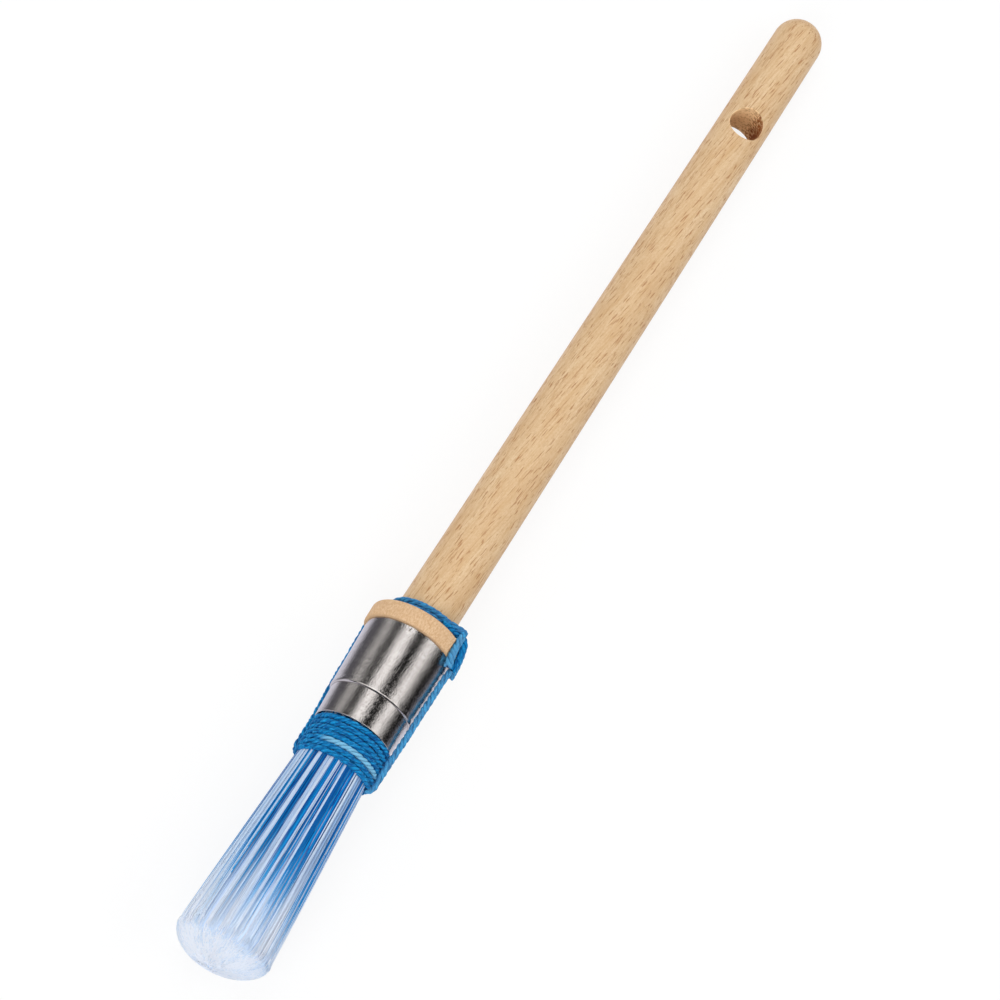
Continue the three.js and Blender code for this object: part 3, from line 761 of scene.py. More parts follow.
def twineTree():
    tree, given, add = startTree("laidTwine", twine, {"Material": "Material"})
    route = add("GeometryNodeMeshToCurve", {"Mesh": given["Geometry"]})[0]
    route = add("GeometryNodeResampleCurve", {"Curve": route, "Length": given["Step"]}, mode="LENGTH")[0]
    plies = add("GeometryNodeDuplicateElements", {"Geometry": route, "Amount": given["Plies"]},
                domain="SPLINE")
    number = plies["Duplicate Index"]
    factor, run = add("GeometryNodeSplineParameter")[:2]
    noiseReach = 4.0  # a noise stays within about a quarter of its middle, so this brings it to one
    slackScale = 0.3
    lumpScale = 1.6
    lumpStretch = (1, 1, 0.5)
    plyApart = 57.0  # so that no two plies have the same lumps

    # each ply goes round the route's middle once in every lay
    turns = add("ShaderNodeMath", [run, given["Lay"]], operation="DIVIDE")[0]
    ahead = add("ShaderNodeMath", [number, given["Plies"]], operation="DIVIDE")[0]
    turns = add("ShaderNodeMath", [ahead, turns], operation="SUBTRACT")[0]
    angle = add("ShaderNodeMath", [turns, 2 * math.pi], operation="MULTIPLY")[0]
    position = add("GeometryNodeInputPosition")[0]
    slack = add("ShaderNodeTexNoise", {"Vector": position, "Scale": slackScale, "Detail": 1.0})[0]
    slack = add("ShaderNodeMath", [slack, 0.5], operation="SUBTRACT")[0]
    slack = add("ShaderNodeMath", [slack, given["Slack"]], operation="MULTIPLY")[0]
    angle = add("ShaderNodeMath", [slack, noiseReach, angle], operation="MULTIPLY_ADD")[0]
    tangent = add("GeometryNodeInputTangent")[0]
    normal = add("GeometryNodeInputNormal")[0]
    heading = add("ShaderNodeVectorRotate", {"Vector": normal, "Axis": tangent, "Angle": angle},
                  rotation_type="AXIS_ANGLE")[0]
    radius = add("ShaderNodeMath", [given["Diameter"], 0.5], operation="MULTIPLY")[0]
    plyRadius = add("ShaderNodeMath", [radius, given["Ply Share"]], operation="MULTIPLY")[0]
    out = add("ShaderNodeMath", [radius, plyRadius], operation="SUBTRACT")[0]
    pastEnd = 1.0001  # keeps the range open where a twine doesn't fray
    apart = add("ShaderNodeMapRange", [factor, given["Fray From"], pastEnd, 0.0, given["Fray"]])[0]
    apart = add("ShaderNodeMath", [apart, 1.0])[0]
    out = add("ShaderNodeMath", [out, apart], operation="MULTIPLY")[0]
    offset = add("ShaderNodeVectorMath", {"Vector": heading, "Scale": out}, operation="SCALE")[0]

    # one stretch may be paler, and fades in and out
    place = add("ShaderNodeMath", [number, plyApart, run], operation="MULTIPLY_ADD")[0]
    paleFull = add("ShaderNodeMath", [given["Pale From"], given["Pale Fade"]])[0]
    paleLast = add("ShaderNodeMath", [given["Pale To"], given["Pale Fade"]], operation="SUBTRACT")[0]
    paleIn = add("ShaderNodeMapRange", [run, given["Pale From"], paleFull])[0]
    paleOut = add("ShaderNodeMapRange", [run, paleLast, given["Pale To"], 1.0, 0.0])[0]
    pale = add("ShaderNodeMath", [paleIn, paleOut], operation="MULTIPLY")[0]
    pale = add("ShaderNodeMath", [pale, given["Paleness"]], operation="MAXIMUM")[0]
    curves = plies["Geometry"]
    for name, value, kind in (
        ("middle", position, "FLOAT_VECTOR"), ("run", place, "FLOAT"), ("pale", pale, "FLOAT"),
    ):
        curves = add("GeometryNodeStoreNamedAttribute", {"Geometry": curves, "Name": name, "Value": value},
                     data_type=kind)[0]
    curves = add("GeometryNodeSetPosition", {"Geometry": curves, "Offset": offset})[0]
    section = add("GeometryNodeCurvePrimitiveCircle", {"Resolution": given["Sides"], "Radius": 1.0})[0]
    onSection = add("GeometryNodeInputPosition")[0]
    section = add("GeometryNodeStoreNamedAttribute",
                  {"Geometry": section, "Name": "section", "Value": onSection},
                  data_type="FLOAT_VECTOR")[0]
    mesh = add("GeometryNodeCurveToMesh",
               {"Curve": curves, "Profile Curve": section, "Scale": plyRadius, "Fill Caps": True})[0]

    # what the material reads: where a point is on its ply, and how far it is from the twine's middle
    run, section, middle = (
        add("GeometryNodeInputNamedAttribute", {"Name": name}, data_type=kind)[0]
        for name, kind in (("run", "FLOAT"), ("section", "FLOAT_VECTOR"), ("middle", "FLOAT_VECTOR"))
    )
    section = add("ShaderNodeVectorMath", {"Vector": section, "Scale": plyRadius}, operation="SCALE")[0]
    along = add("ShaderNodeCombineXYZ", [0.0, 0.0, run])[0]
    onPly = add("ShaderNodeVectorMath", [section, along])[0]
    position = add("GeometryNodeInputPosition")[0]
    away = add("ShaderNodeVectorMath", [position, middle], operation="DISTANCE")[1]
    # how far a point lies from the twine's middle: nearer it, the material paints shade where the plies
    # meet
    crown = add("ShaderNodeMath", [away, radius], operation="DIVIDE")[0]
    for name, value, kind in (("onPly", onPly, "FLOAT_VECTOR"), ("crown", crown, "FLOAT")):
        mesh = add("GeometryNodeStoreNamedAttribute", {"Geometry": mesh, "Name": name, "Value": value},
                   data_type=kind)[0]
    onPly = add("GeometryNodeInputNamedAttribute", {"Name": "onPly"}, data_type="FLOAT_VECTOR")[0]
    stretched = add("ShaderNodeVectorMath", [onPly, lumpStretch], operation="MULTIPLY")[0]
    swell = add("ShaderNodeTexNoise", {"Vector": stretched, "Scale": lumpScale, "Detail": 2.0})[0]
    swell = add("ShaderNodeMath", [swell, 0.5], operation="SUBTRACT")[0]
    for factor in (given["Unevenness"], noiseReach):
        swell = add("ShaderNodeMath", [swell, factor], operation="MULTIPLY")[0]
    outwards = add("GeometryNodeInputNormal")[0]
    swell = add("ShaderNodeVectorMath", {"Vector": outwards, "Scale": swell}, operation="SCALE")[0]
    mesh = add("GeometryNodeSetPosition", {"Geometry": mesh, "Offset": swell})[0]
    for name in ("middle", "run", "section"):
        mesh = add("GeometryNodeRemoveAttribute", {"Geometry": mesh, "Name": name})[0]
    endTree(tree, mesh, given["Material"])
    return tree


def smoothRoute(points, perSpan=12):
    # a curve through the points whose speed follows the root of their distances, as a bent cord's does
    ends = [2 * points[0] - points[1]] + list(points) + [2 * points[-1] - points[-2]]
    route = []
    for p0, p1, p2, p3 in zip(ends, ends[1:], ends[2:], ends[3:]):
        t0, t1, t2 = ((b - a).length ** 0.5 for a, b in ((p0, p1), (p1, p2), (p2, p3)))
        start = ((p1 - p0) / t0 - (p2 - p0) / (t0 + t1) + (p2 - p1) / t1) * t1
        end = ((p2 - p1) / t1 - (p3 - p1) / (t1 + t2) + (p3 - p2) / t2) * t1
        for i in range(perSpan):
            s = i / perSpan
            route.append(p1 * (2 * s ** 3 - 3 * s ** 2 + 1) + start * (s ** 3 - 2 * s ** 2 + s)
                         + p2 * (3 * s ** 2 - 2 * s ** 3) + end * (s ** 3 - s ** 2))
    route.append(points[-1])
    return route


stringPath = {
    "whippingStart": 100.0,
    "whippingEnd": -98.0,
    "whippingTurns": 6,
    "whippingStep": 5.0,  # degrees
    "pitch": 1.45,
    "wobble": 0.06,
    "wobbleWaves": (2.3, 0.61),  # to one turn
    "push": 0.3,  # how far the first pass is pushed up against the ferrule
    "pushedAngle": 700.0,
    "legGap": 0.1,
    "seatGap": 0.05,
    "fullSide": 85.0,  # the whipping stands out here, over the string's tucked end
    "fullWidth": 30.0,
    "fullness": 0.45,
    "palePass": 5,  # the front pass whose outer ply is faded
    "paleBearings": (67.0, -60.0),
    "neckTouch": 46.0,  # from the left crossing to where the string meets the handle's neck
    "neckLeave": 2.0,
    "neckStep": 30.0,
    "neckDip": 1.35,  # how far it then bends down into the right notch
}
twineRadius = brush["twineDiameter"] / 2
whippingRadius = brush["whippingInnerDiameter"] / 2 + twineRadius
whippingTop = -brush["ferruleLength"] - brush["whippingDrop"]
whippingAngle = stringPath["whippingTurns"] * 360 + stringPath["whippingStart"] - stringPath["whippingEnd"]
whippingBottom = whippingTop - whippingAngle / 360 * stringPath["pitch"]
legLift = twineRadius + stringPath["legGap"]
besideCollar = collarRadius + legLift
overWhipping = whippingRadius + twineRadius + legLift
onCollar = brush["collarThickness"] + twineRadius + stringPath["seatGap"]
neckRadius = brush["handleNeckDiameter"] / 2 + twineRadius + stringPath["seatGap"]
leftCrossing = brush["leftCrossing"]
rightCrossing = brush["rightCrossing"]


def beside(height):
    return ferruleRadius(height) + legLift


neckAngle = 360 + stringPath["neckLeave"] - leftCrossing - stringPath["neckTouch"]
neckTop = onCollar + neckAngle * stringPath["pitch"] / 360
neckEnd = neckTop - stringPath["neckDip"]


def neckTurns():
    touch = leftCrossing + stringPath["neckTouch"]
    steps = round(neckAngle / stringPath["neckStep"])
    return [
        (touch + neckAngle * i / steps, neckRadius, mix(onCollar, neckTop, i / steps))
        for i in range(steps + 1)
    ]


# each stretch: its piece, the solid it stands for, where it differs from the twine above, and its stations,
# as bearing, distance from the axis and height
stretches = (
    ("leftLegTwine", "string_leg_left", {}, (
        (stringPath["whippingEnd"] - 9.5, whippingRadius + 0.1, whippingBottom + 0.2),
        (stringPath["whippingEnd"] - 14.5, whippingRadius + 0.65, whippingBottom + 0.9),
        (stringPath["whippingEnd"] - 17.5, overWhipping - 0.25, whippingBottom + 2.1),
        (-117.5, overWhipping, whippingBottom + 3.8),
        (-118, overWhipping + 0.05, whippingTop - 1),
        (-119.5, beside(-22) + 0.05, -23),
        (-121, beside(-17.9), -17.9),
        (-120.5, beside(-8), -8),
        (leftCrossing, beside(-2), -2),
        (leftCrossing, beside(0), 1),
        (leftCrossing, beside(0), brush["collarThickness"] - 1.6),
    )),
    ("rightLegTwine", "string_leg_right", {"Paleness": 0.3, "Diameter": 1.7}, (
        (73, whippingRadius + 0.2, whippingBottom - 0.1),
        (77.5, whippingRadius + 0.9, whippingBottom + 0.2),
        (79, overWhipping - 0.15, whippingBottom + 1.3),
        (76.5, overWhipping + 0.05, whippingBottom + 3.4),
        (71, overWhipping + 0.35, whippingTop - 1),
        (67.5, beside(-22) + 0.5, -23),
        (65, beside(-17.9) + 0.25, -17.9),
        (65.5, beside(-8) + 0.15, -8),
        (65.5, beside(-3) + 0.2, -3.6),
        (65.5, beside(-1.5) + 0.45, -1.7),
    )),
    ("neckTwine", "string_neck_loop", {"Paleness": 0.2}, (
        (leftCrossing, beside(0), brush["collarThickness"] - 1.25),
        (leftCrossing, beside(0) + 0.05, brush["collarThickness"] - 0.3),
        (leftCrossing + 0.5, beside(0) - 0.4, brush["collarThickness"] + 0.75),
        (leftCrossing + 3, beside(0) - 1.2, onCollar + 0.05),
        (leftCrossing + 12, collarRadius - 1.9, onCollar),
        *neckTurns(),
        (stringPath["neckLeave"] + 34, collarRadius - 2.2, neckTop - 0.2),
        (rightCrossing - 5, collarRadius - 0.6, neckTop - 0.1),
        (rightCrossing - 1.5, collarRadius + 0.3, neckTop - 0.3),
        (rightCrossing - 1, beside(0) + 0.25, neckTop - 0.8),
        (rightCrossing - 1, beside(0) + 0.05, neckEnd),
    )),
    ("endTwine", "string_end",
     {"Paleness": 0.4, "Diameter": 1.9, "Ply Share": 0.52, "Lay": 3.9, "Fray From": 0.3, "Fray": 0.5}, (
        (rightCrossing - 1, beside(0) + 0.05, neckEnd),
        (rightCrossing - 1, beside(0), brush["collarThickness"] - 1),
        (rightCrossing + 1.5, beside(0), 0.5),
        (rightCrossing + 5.5, beside(-1) + 0.05, -1.6),
    )),
    ("knotTwine", "string_knot", {"Diameter": 1.85}, (
        (65.5, beside(-1.5) + 0.5, -1.3),
        (64.5, besideCollar, 0.3),
        (61, besideCollar + 0.05, 2.5),
        (58.5, besideCollar, 4.1),
        (57.5, besideCollar - 0.4, 5.5),
        (56, besideCollar - 1.2, 6.3),
        (52, besideCollar - 1.9, 6.3),
        (45, besideCollar - 2.5, 6.15),
        (38, besideCollar - 2.9, onCollar + 0.4),
        (29, besideCollar - 3.1, onCollar + 0.25),
        (20, besideCollar - 3.2, onCollar + 0.15),
    )),
    ("tailTwine", "string_knot",
     {"Paleness": 0.35, "Diameter": 1.45, "Plies": 4, "Ply Share": 0.45, "Fray From": 0.6, "Fray": 0.4}, (
        (59, besideCollar, 5.0),
        (61.5, besideCollar + 0.2, 3.4),
        (66, besideCollar + 0.25, 1.7),
        (70.5, besideCollar + 0.1, 0.3),
        (74, besideCollar - 0.05, -1.0),
        (76, besideCollar - 0.2, -2.3),
    )),
)


def whippingRoute():
    route = []
    steps = round(whippingAngle / stringPath["whippingStep"])
    for i in range(steps + 1):
        passed = whippingAngle * i / steps
        bearing = stringPath["whippingStart"] - passed
        height = mix(whippingTop, whippingBottom, i / steps)
        wobble = stringPath["wobble"]
        for waves in stringPath["wobbleWaves"]:
            wobble *= math.sin(math.radians(waves * passed))
        push = stringPath["push"] * max(0, 1 - passed / stringPath["pushedAngle"])
        aside = (bearing - stringPath["fullSide"] + 180) % 360 - 180
        full = stringPath["fullness"] * math.exp(-(aside / stringPath["fullWidth"]) ** 2)
        route.append(around(bearing, whippingRadius + full, height + wobble + push))
    return route


def palePart():
    circle = 2 * math.pi * whippingRadius
    before = 360 * (stringPath["palePass"] - 1) + stringPath["whippingStart"]
    paleFrom, paleTo = (circle * (before - bearing) / 360 for bearing in stringPath["paleBearings"])
    return {"Pale From": paleFrom, "Pale To": paleTo}


def layString(material):
    tree = twineTree()
    routes = [("whippingTwine", "string_whipping", palePart(), whippingRoute())]
    for name, node, changes, stations in stretches:
        routes.append((name, node, changes, smoothRoute([around(*station) for station in stations])))
    for name, node, changes, route in routes:
        string = grow(name, route, tree, twine | {"Material": material} | changes)
        finishPiece(string, headPlace, "twine", node)


def startMaterial(name):
    material = bpy.data.materials.new(name)
    material.use_nodes = True
    return material, partial(addNode, material.node_tree)


def endMaterial(material, inputs):
    fill(material.node_tree.nodes["Principled BSDF"], inputs)
    return material


def alongBrush(add, slope=0.0):
    # millimetres in the brush's own directions: X along the handle, or along a grain that slopes across it
    place = add("ShaderNodeTexCoord")["Object"]
    turn = (0, -lean, math.radians(slope))
    return add("ShaderNodeMapping", {"Vector": place, "Rotation": turn, "Scale": (1000, 1000, 1000)})[0]


def grains(add, place, length, width, detail, distortion=0.0):
    # a noise whose grains are about so many millimetres long and wide
    scale = (1 / length, 1 / width, 1 / width)
    scaled = add("ShaderNodeVectorMath", [place, scale], operation="MULTIPLY")[0]
    return add("ShaderNodeTexNoise",
               {"Vector": scaled, "Scale": 1.0, "Detail": detail, "Distortion": distortion})[0]


def layColours(add, base, *layers):
    # a layer is a pattern, the values where it begins and is full, how much it then covers, and its colour
    colour = linear(base)
    for pattern, begins, full, cover, over in layers:
        share = add("ShaderNodeMapRange", [pattern, begins, full, 0.0, cover])[0]
        colour = add("ShaderNodeMix", {"Factor": share, 6: colour, 7: linear(over)}, data_type="RGBA")[2]
    return colour


beech = {
    "slope": 8.0,  # degrees that the grain runs across the handle
    "bandSize": (45, 2.6, 4.0, 0.3),  # length and width in millimetres, detail, distortion
    "fibreSize": (9, 0.5, 3.0),
    "grainSize": (0.6, 0.22, 2.0),
    "raySize": (4.2, 0.38, 1.0),
    "poreSize": (22, 1.5, 3.0, 0.4),
    "base": "#E4C79F",
    "bands": (0.3, 0.7, 1.0, "#D6B387"),
    "fibres": (0.4, 0.75, 0.6, "#C99C68"),
    "grain": (0.44, 0.62, 0.35, "#C79B66"),
    "flecks": (0.0, 1.0, 0.7, "#A4662C"),
    "rayRange": (0.63, 0.68),
    "poreWidth": 0.02,
    "poreRange": (0.42, 0.6),
    "roughness": (0.48, 0.62),
    "drilledBase": "#F4D0A0",
    # painted shade: the hole's wall darkens towards one side across the handle, broken up by the torn
    # streaks
    "paintedShade": (0.0, 1.0, 1.0, "#8A4E20"),
    "paintedShadeFrom": (0.5, -3.0),  # millimetres across the handle
    "streaks": 0.4,
    "streakRange": (0.4, 0.6),
    "drilledShader": {"Roughness": 0.8, "Specular IOR Level": 0.15},
}


def varnishedBeech():
    # beech, turned and sanded along the grain, under a thin matt varnish: flecks show, the sheen stays low
    material, add = startMaterial("varnishedBeech")
    place = alongBrush(add, beech["slope"])
    bands, fibres, grain, rays, pores = (
        grains(add, place, *beech[size])
        for size in ("bandSize", "fibreSize", "grainSize", "raySize", "poreSize")
    )
    rays = add("ShaderNodeMapRange", [rays, *beech["rayRange"]])[0]
    # pores are thin wavy lines, where a slow noise crosses its middle, and the fibres break them up
    pores = add("ShaderNodeMath", [pores, 0.5], operation="SUBTRACT")[0]
    pores = add("ShaderNodeMath", [pores], operation="ABSOLUTE")[0]
    pores = add("ShaderNodeMapRange", [pores, 0.0, beech["poreWidth"], 1.0, 0.0])[0]
    broken = add("ShaderNodeMapRange", [fibres, *beech["poreRange"]])[0]
    pores = add("ShaderNodeMath", [pores, broken], operation="MULTIPLY")[0]
    flecks = add("ShaderNodeMath", [rays, pores], operation="MAXIMUM")[0]
    colour = layColours(add, beech["base"], (bands, *beech["bands"]), (fibres, *beech["fibres"]),
                        (grain, *beech["grain"]), (flecks, *beech["flecks"]))
    rough = add("ShaderNodeMapRange", [flecks, 0.0, 1.0, *beech["roughness"]])[0]
    bump = add("ShaderNodeBump", {"Strength": 0.25, "Distance": 0.00003, "Height": fibres})[0]
    return endMaterial(material, {"Base Color": colour, "Roughness": rough, "Normal": bump})


def drilledBeech():
    # the same beech inside the drilled hole: bare and torn in streaks, with painted shade darkening its
    # wall towards one side across the handle
    material, add = startMaterial("drilledBeech")
    fibres = grains(add, alongBrush(add, beech["slope"]), *beech["fibreSize"])
    across = add("ShaderNodeSeparateXYZ", [alongBrush(add)])[1]
    paintedShade = add("ShaderNodeMapRange", [across, *beech["paintedShadeFrom"], 0.0, 1.0])[0]
    torn = beech["streaks"]
    streaks = add("ShaderNodeMapRange", [fibres, *beech["streakRange"], -torn, torn])[0]
    share = add("ShaderNodeMath", [paintedShade, streaks])[0]
    colour = layColours(add, beech["drilledBase"], (share, *beech["paintedShade"]))
    bump = add("ShaderNodeBump", {"Strength": 0.5, "Distance": 0.00005, "Height": fibres})[0]
    return endMaterial(material, {"Base Color": colour, "Normal": bump} | beech["drilledShader"])


fibreboard = {
    "feltSize": (1 / 1.7, 1 / 3.2, 4.0),
    "cloudSize": (1 / 0.35, 1 / 0.35, 2.0),
    "base": "#DEBD96",
    "felt": (0.38, 0.62, 1.0, "#CBA176"),
    "clouds": (0.4, 0.7, 0.35, "#D2AD86"),
    "shader": {"Roughness": 0.82},
}


def pressedFibre():
    # fibreboard, pressed and turned: even tan with a felted grain of about 0.3 mm and no gloss
    material, add = startMaterial("pressedFibre")
    place = alongBrush(add)
    felt = grains(add, place, *fibreboard["feltSize"])
    clouds = grains(add, place, *fibreboard["cloudSize"])
    colour = layColours(add, fibreboard["base"], (felt, *fibreboard["felt"]),
                        (clouds, *fibreboard["clouds"]))
    bump = add("ShaderNodeBump", {"Strength": 0.35, "Distance": 0.00004, "Height": felt})[0]
    return endMaterial(material, {"Base Color": colour, "Normal": bump} | fibreboard["shader"])


steel = {
    "markSize": (1.1, 0.2, 3.0),
    "gritSize": (1 / 3, 1 / 3, 3.0),
    "ringSize": (0.3, 5.0, 2.0),
    "cloudSize": (2.0, 2.0, 3.0),
    "waveSize": (1 / 0.28, 1 / 0.28, 1.0),
    "base": "#C0BAB7",
    "rings": (0.3, 0.7, 1.0, "#CCC7C4"),
    "gritWeight": 1.5,  # against the draw marks
    "cloudRange": (0.3, 0.7),
    "roughness": (0.06, 0.12),
}


def drawnSteel():
    # stainless steel, deep drawn: fine draw marks of about 0.2 mm along the tube fray its reflections
    material, add = startMaterial("drawnSteel")
    place = alongBrush(add)
    marks, grit, rings, clouds, waves = (
        grains(add, place, *steel[size])
        for size in ("markSize", "gritSize", "ringSize", "cloudSize", "waveSize")
    )
    relief = add("ShaderNodeMath", [grit, steel["gritWeight"], marks], operation="MULTIPLY_ADD")[0]
    colour = layColours(add, steel["base"], (rings, *steel["rings"]))
    rough = add("ShaderNodeMapRange", [clouds, *steel["cloudRange"], *steel["roughness"]])[0]
    waves = add("ShaderNodeBump", {"Strength": 1.0, "Distance": 0.00006, "Height": waves})[0]
    bump = add("ShaderNodeBump",
               {"Strength": 0.8, "Distance": 0.00004, "Height": relief, "Normal": waves})[0]
    return endMaterial(material,
                       {"Base Color": colour, "Metallic": 1.0, "Roughness": rough, "Normal": bump})


epoxy = {"base": "#E2D2A0", "clear": (0.05, 0.3, 1.0, "#B99B5C"), "specksPerMm": 1.2, "roughness": 0.25}


def castEpoxy():
    # epoxy, poured round the filaments' roots: amber, glossy, with specks of trapped air
    material, add = startMaterial("castEpoxy")
    specks = add("ShaderNodeTexVoronoi", {"Vector": alongBrush(add), "Scale": epoxy["specksPerMm"]})[0]
    colour = layColours(add, epoxy["base"], (specks, *epoxy["clear"]))
    return endMaterial(material, {"Base Color": colour, "Roughness": epoxy["roughness"]})


# a filament's darkest and brightest tone, its colour where it thins and at its tip, and where it pales
polyester = {
    "blueFilament": ("#00489C", "#0094DE", "#3AA8E6", "#DAE9FC", -56.0, -73.0, (0.25, 0.7)),
    # the white filaments' blue tint is partly painted blue bounce light, and their darker upper part partly
    # painted shade below the whipping, besides their own paling towards the thin tip
    "whiteFilament": ("#A0C6EE", "#DAE9FC", "#C6DFFA", "#EDF3FE", -46.0, -80.0, (0.2, 0.7)),
    "ownTone": 0.25,  # what a filament's own tone counts for against its bundle's
    "ownFade": 0.55,
    "fadeScatter": 24.0,
    "thinsBefore": 16.0,
    "shader": {"Roughness": 0.5, "IOR": 1.57, "Specular IOR Level": 0.1},
}


def drawnFilament(name):
    # polyester, drawn into tapered filaments: satin, each bundle its own tone, paler towards its thin tip,
    # and for the white ones partly painted light as well
    material, add = startMaterial(name)
    dark, bright, thin, tip, fadeFrom, fadeTo, tones = polyester[name]
    bundleTone, ownTone, height = (
        add("ShaderNodeAttribute", attribute_name=label)["Fac"]
        for label in ("bundleTone", "ownTone", "height")
    )
    both, shift = (
        add("ShaderNodeMix", {"Factor": polyester[weight], 2: bundleTone, 3: ownTone})[0]
        for weight in ("ownTone", "ownFade")
    )
    level = add("ShaderNodeMath", [shift, polyester["fadeScatter"], height], operation="MULTIPLY_ADD")[0]
    thinning, fade = (
        add("ShaderNodeMapRange", [level, start, fadeTo], interpolation_type="SMOOTHSTEP")[0]
        for start in (fadeFrom + polyester["thinsBefore"], fadeFrom)
    )
    colour = layColours(add, dark, (both, *tones, 1.0, bright), (thinning, 0.0, 1.0, 1.0, thin),
                        (fade, 0.0, 1.0, 1.0, tip))
    return endMaterial(material, {"Base Color": colour} | polyester["shader"])


packedLook = {
    "streakSize": (60, 0.5, 2.0),
    "base": "#86A9D6",
    "streaks": (0.46, 0.54, 1.0, "#08509C"),
    # painted shade: these pale tips are darker than the filaments' own tips, so that the gaps between the
    # outer tips look shaded
    "tips": "#CCE0FA",
    "shader": {"Roughness": 0.6, "Specular IOR Level": 0.1},
}


def packedFilaments():
    # the same filaments further in, seen only between the outer ones: streaks about 0.5 mm wide, and pale
    # tips dimmed as painted shade in the gaps
    material, add = startMaterial("packedFilaments")
    place = alongBrush(add)
    streaks = grains(add, place, *packedLook["streakSize"])
    along = add("ShaderNodeSeparateXYZ", [place])[0]
    colour = layColours(add, packedLook["base"], (streaks, *packedLook["streaks"]),
                        (along, packedCore["paleFrom"], packedCore["paleTo"], 1.0, packedLook["tips"]))
    return endMaterial(material, {"Base Color": colour} | packedLook["shader"])


twineLook = {
    "hairsPerMm": (8.0, 8.0, 1.3),  # across a ply and last along it: spun fibres 0.125 mm wide, 0.8 mm long
    "patchesPerMm": 0.55,
    "base": "#00488A",
    "fibres": (0.4, 0.6, 1.0, "#0A94D2"),
    # the paler tone, for the pale stretch and for pieces drawn paler
    "paleTone": (0.0, 1.0, 0.75, "#8CCBE8"),
    # painted highlights: lighter streaks on the spun fibres, where their noise is high
    "fibreHighlights": (0.58, 0.74, 0.5, "#6CB8E2"),
    # painted shade: darker towards the twine's middle, in the hollows where the plies meet
    "grooveShade": (0.88, 0.5, 0.9, "#003464"),
    "patches": 0.4,  # what they count for against the spun fibres
    "shader": {
        "Roughness": 0.75, "Specular IOR Level": 0.12, "Sheen Weight": 0.05, "Sheen Roughness": 0.4,
    },
}


def laidTwine():
    # three-ply polypropylene twine: soft spun fibres along each ply, some streaked with painted highlights,
    # and painted shade where the plies meet
    material, add = startMaterial("laidTwine")
    onPly = add("ShaderNodeAttribute", attribute_name="onPly")["Vector"]
    crown = add("ShaderNodeAttribute", attribute_name="crown")["Fac"]
    pale = add("ShaderNodeAttribute", attribute_name="pale")["Fac"]
    hairs = add("ShaderNodeVectorMath", [onPly, twineLook["hairsPerMm"]], operation="MULTIPLY")[0]
    hairs = add("ShaderNodeTexNoise", {"Vector": hairs, "Scale": 1.0, "Detail": 3.0})[0]
    patches = add("ShaderNodeTexNoise",
                  {"Vector": onPly, "Scale": twineLook["patchesPerMm"], "Detail": 2.0})[0]
    fibres = add("ShaderNodeMix", {"Factor": twineLook["patches"], 2: hairs, 3: patches})[0]
    colour = layColours(add, twineLook["base"], (fibres, *twineLook["fibres"]), (pale, *twineLook["paleTone"]),
                        (hairs, *twineLook["fibreHighlights"]), (crown, *twineLook["grooveShade"]))
    bump = add("ShaderNodeBump", {"Strength": 0.6, "Distance": 0.00006, "Height": hairs})[0]
    return endMaterial(material, {"Base Color": colour, "Normal": bump} | twineLook["shader"])


turnHandle(varnishedBeech(), drilledBeech())
turnCollar(pressedFibre())
drawFerrule(drawnSteel())
print("handle, collar and ferrule made")

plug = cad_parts["resin_plug"]
plug.data.materials.clear()
plug.data.materials.append(castEpoxy())

growFilaments(drawnFilament("blueFilament"), drawnFilament("whiteFilament"))
packCore(packedFilaments())
print("filaments grown")

layString(laidTwine())
print("string laid")

studio = {
    "tableSize": 6.0,
    "tableLevel": -0.0002,
    "tableWhite": 0.97,
    "shadowKeep": 0.15,  # how much of the shadow the table shows the camera
    "nearTable": 0.027,  # the ferrule mirrors the white table this far out, and dark flags beyond
    "nearSoftness": 1.25,
    "mirroredTint": "#EAEAF8",
    "flagFrom": 0.1,  # how far out the flag on the right stands
    "flagSoftness": 1.2,
    "beforeFlag": 0.36,
    "openFrom": -0.078,  # along the brush, from here on towards the tips there is no flag
    "openTo": -0.086,
    "fill": 0.335,
    "mirrorFill": 0.02,
    "leftMirrorFill": 0.17,
    "lightDistance": 1.4,
    "lightHeight": 40.0,  # up the brush's axis, in millimetres
}
# name, from bearing, to bearing, towards the handle's end, length, radiance, lights, is mirrored
softboxes = (
    ("keyLight", 28.0, 53.0, 0.45, 2.4, 1.3, True, True),
    ("keyEdgeLight", 53.0, 69.0, 0.45, 2.4, 0.42, True, True),
    ("frontLight", -33.5, -7.0, 0.45, 2.4, 1.44, True, True),
    ("dimLight", -65.0, -33.5, 0.45, 2.4, 0.07, True, True),
    ("sideLight", -82.0, -65.0, 0.45, 2.4, 0.64, True, True),
    ("lowLight", -91.0, -82.0, 0.45, 2.4, 0.26, True, True),
    ("leftFillLight", -72.0, -40.0, 0.2, 1.6, 0.62, True, False),
    ("rightFillLight", 40.0, 72.0, 0.2, 1.6, 0.4, True, False),
    ("tipLight", -24.0, 16.0, -1.3, 1.1, 2.85, True, False),
    ("lipLight", -62.0, 58.0, -0.42, 0.75, 1.5, False, True),
)


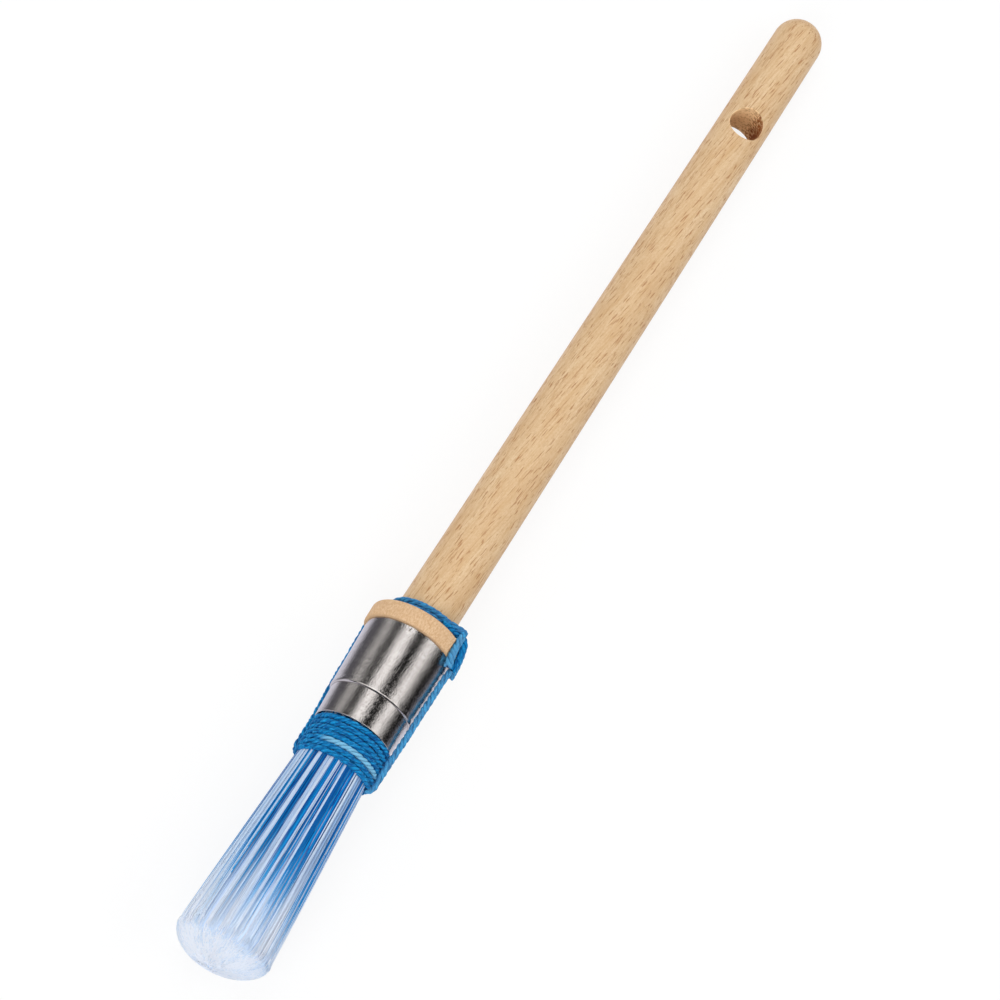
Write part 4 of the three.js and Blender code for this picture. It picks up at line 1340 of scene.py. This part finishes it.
def layTable():
    mesh = bpy.data.meshes.new("table")
    half = studio["tableSize"] / 2
    level = studio["tableLevel"]
    corners = [(-half, -half, level), (half, -half, level), (half, half, level), (-half, half, level)]
    mesh.from_pydata(corners, [], [(0, 1, 2, 3)])
    material, add = startMaterial("paleTable")
    nodes = material.node_tree.nodes
    paint = nodes["Principled BSDF"]
    white = (studio["tableWhite"],) * 3 + (1,)
    fill(paint, {"Base Color": white, "Roughness": 1.0, "Specular IOR Level": 0.0})
    rays = add("ShaderNodeLightPath")
    tint = add("ShaderNodeMix",
               {"Factor": rays["Is Glossy Ray"], 6: (1, 1, 1, 1), 7: linear(studio["mirroredTint"])},
               data_type="RGBA")[2]
    along, side = add("ShaderNodeSeparateXYZ", [add("ShaderNodeTexCoord")["Object"]])[:2]
    aside = add("ShaderNodeMath", [side], operation="ABSOLUTE")[0]
    near = studio["nearTable"]
    flag = studio["flagFrom"]
    flagTo = studio["flagSoftness"] * flag
    right = add("ShaderNodeMapRange", [side, -flagTo, -flag, studio["mirrorFill"], studio["beforeFlag"]])[0]
    far = add("ShaderNodeMapRange", [side, -near, near, right, studio["leftMirrorFill"]])[0]
    mirrored = add("ShaderNodeMapRange", [aside, near, studio["nearSoftness"] * near, 1.0, far])[0]
    ahead = add("ShaderNodeMapRange", [along, studio["openFrom"], studio["openTo"]])[0]
    mirrored = add("ShaderNodeMath", [mirrored, ahead], operation="MAXIMUM")[0]
    strength = add("ShaderNodeMix", {"Factor": rays["Is Glossy Ray"], 2: 1.0, 3: mirrored})[0]
    glow = add("ShaderNodeEmission", {"Color": tint, "Strength": strength})[0]
    seen = add("ShaderNodeMath", [rays["Is Glossy Ray"], rays["Is Transmission Ray"]],
               operation="MAXIMUM")[0]
    share = add("ShaderNodeMath", [rays["Is Camera Ray"], 1 - studio["shadowKeep"], seen],
                operation="MULTIPLY_ADD")[0]
    both = add("ShaderNodeMixShader", [share, paint.outputs[0], glow])[0]
    fill(nodes["Material Output"], {"Surface": both})
    mesh.materials.append(material)
    linked("table", mesh)


def hangLights():
    middle = handlePlace @ Vector((0, studio["lightHeight"], 0))
    distance = studio["lightDistance"]
    for name, low, high, rise, length, radiance, lights, mirrored in softboxes:
        back = (handlePlace.to_3x3() @ (around((low + high) / 2, 1, rise))).normalized()
        along = (handleAxis - back * handleAxis.dot(back)).normalized()
        data = bpy.data.lights.new(name, "AREA")
        data.shape = "RECTANGLE"
        data.size = 2 * distance * math.tan(math.radians(high - low) / 2)
        data.size_y = length
        data.energy = radiance * math.pi * data.size * data.size_y
        lamp = linked(name, data)
        turn = Matrix((along.cross(back), along, back)).transposed().to_4x4()
        lamp.matrix_world = Matrix.Translation(middle + back * distance) @ turn
        lamp.visible_camera = False
        lamp.visible_diffuse = lights
        lamp.visible_glossy = mirrored


def lightRoom():
    world = bpy.data.worlds.new("room")
    world.use_nodes = True
    bpy.context.scene.world = world
    add = partial(addNode, world.node_tree)
    rays = add("ShaderNodeLightPath")
    strength = studio["fill"]
    for kind, level in (("Is Glossy Ray", studio["mirrorFill"]), ("Is Camera Ray", 1.0)):
        strength = add("ShaderNodeMix", {"Factor": rays[kind], 2: strength, 3: level})[0]
    fill(world.node_tree.nodes["Background"], {"Color": (1, 1, 1, 1), "Strength": strength})


layTable()
hangLights()
lightRoom()
bpy.context.scene.view_settings.view_transform = "Standard"
print("studio lit")
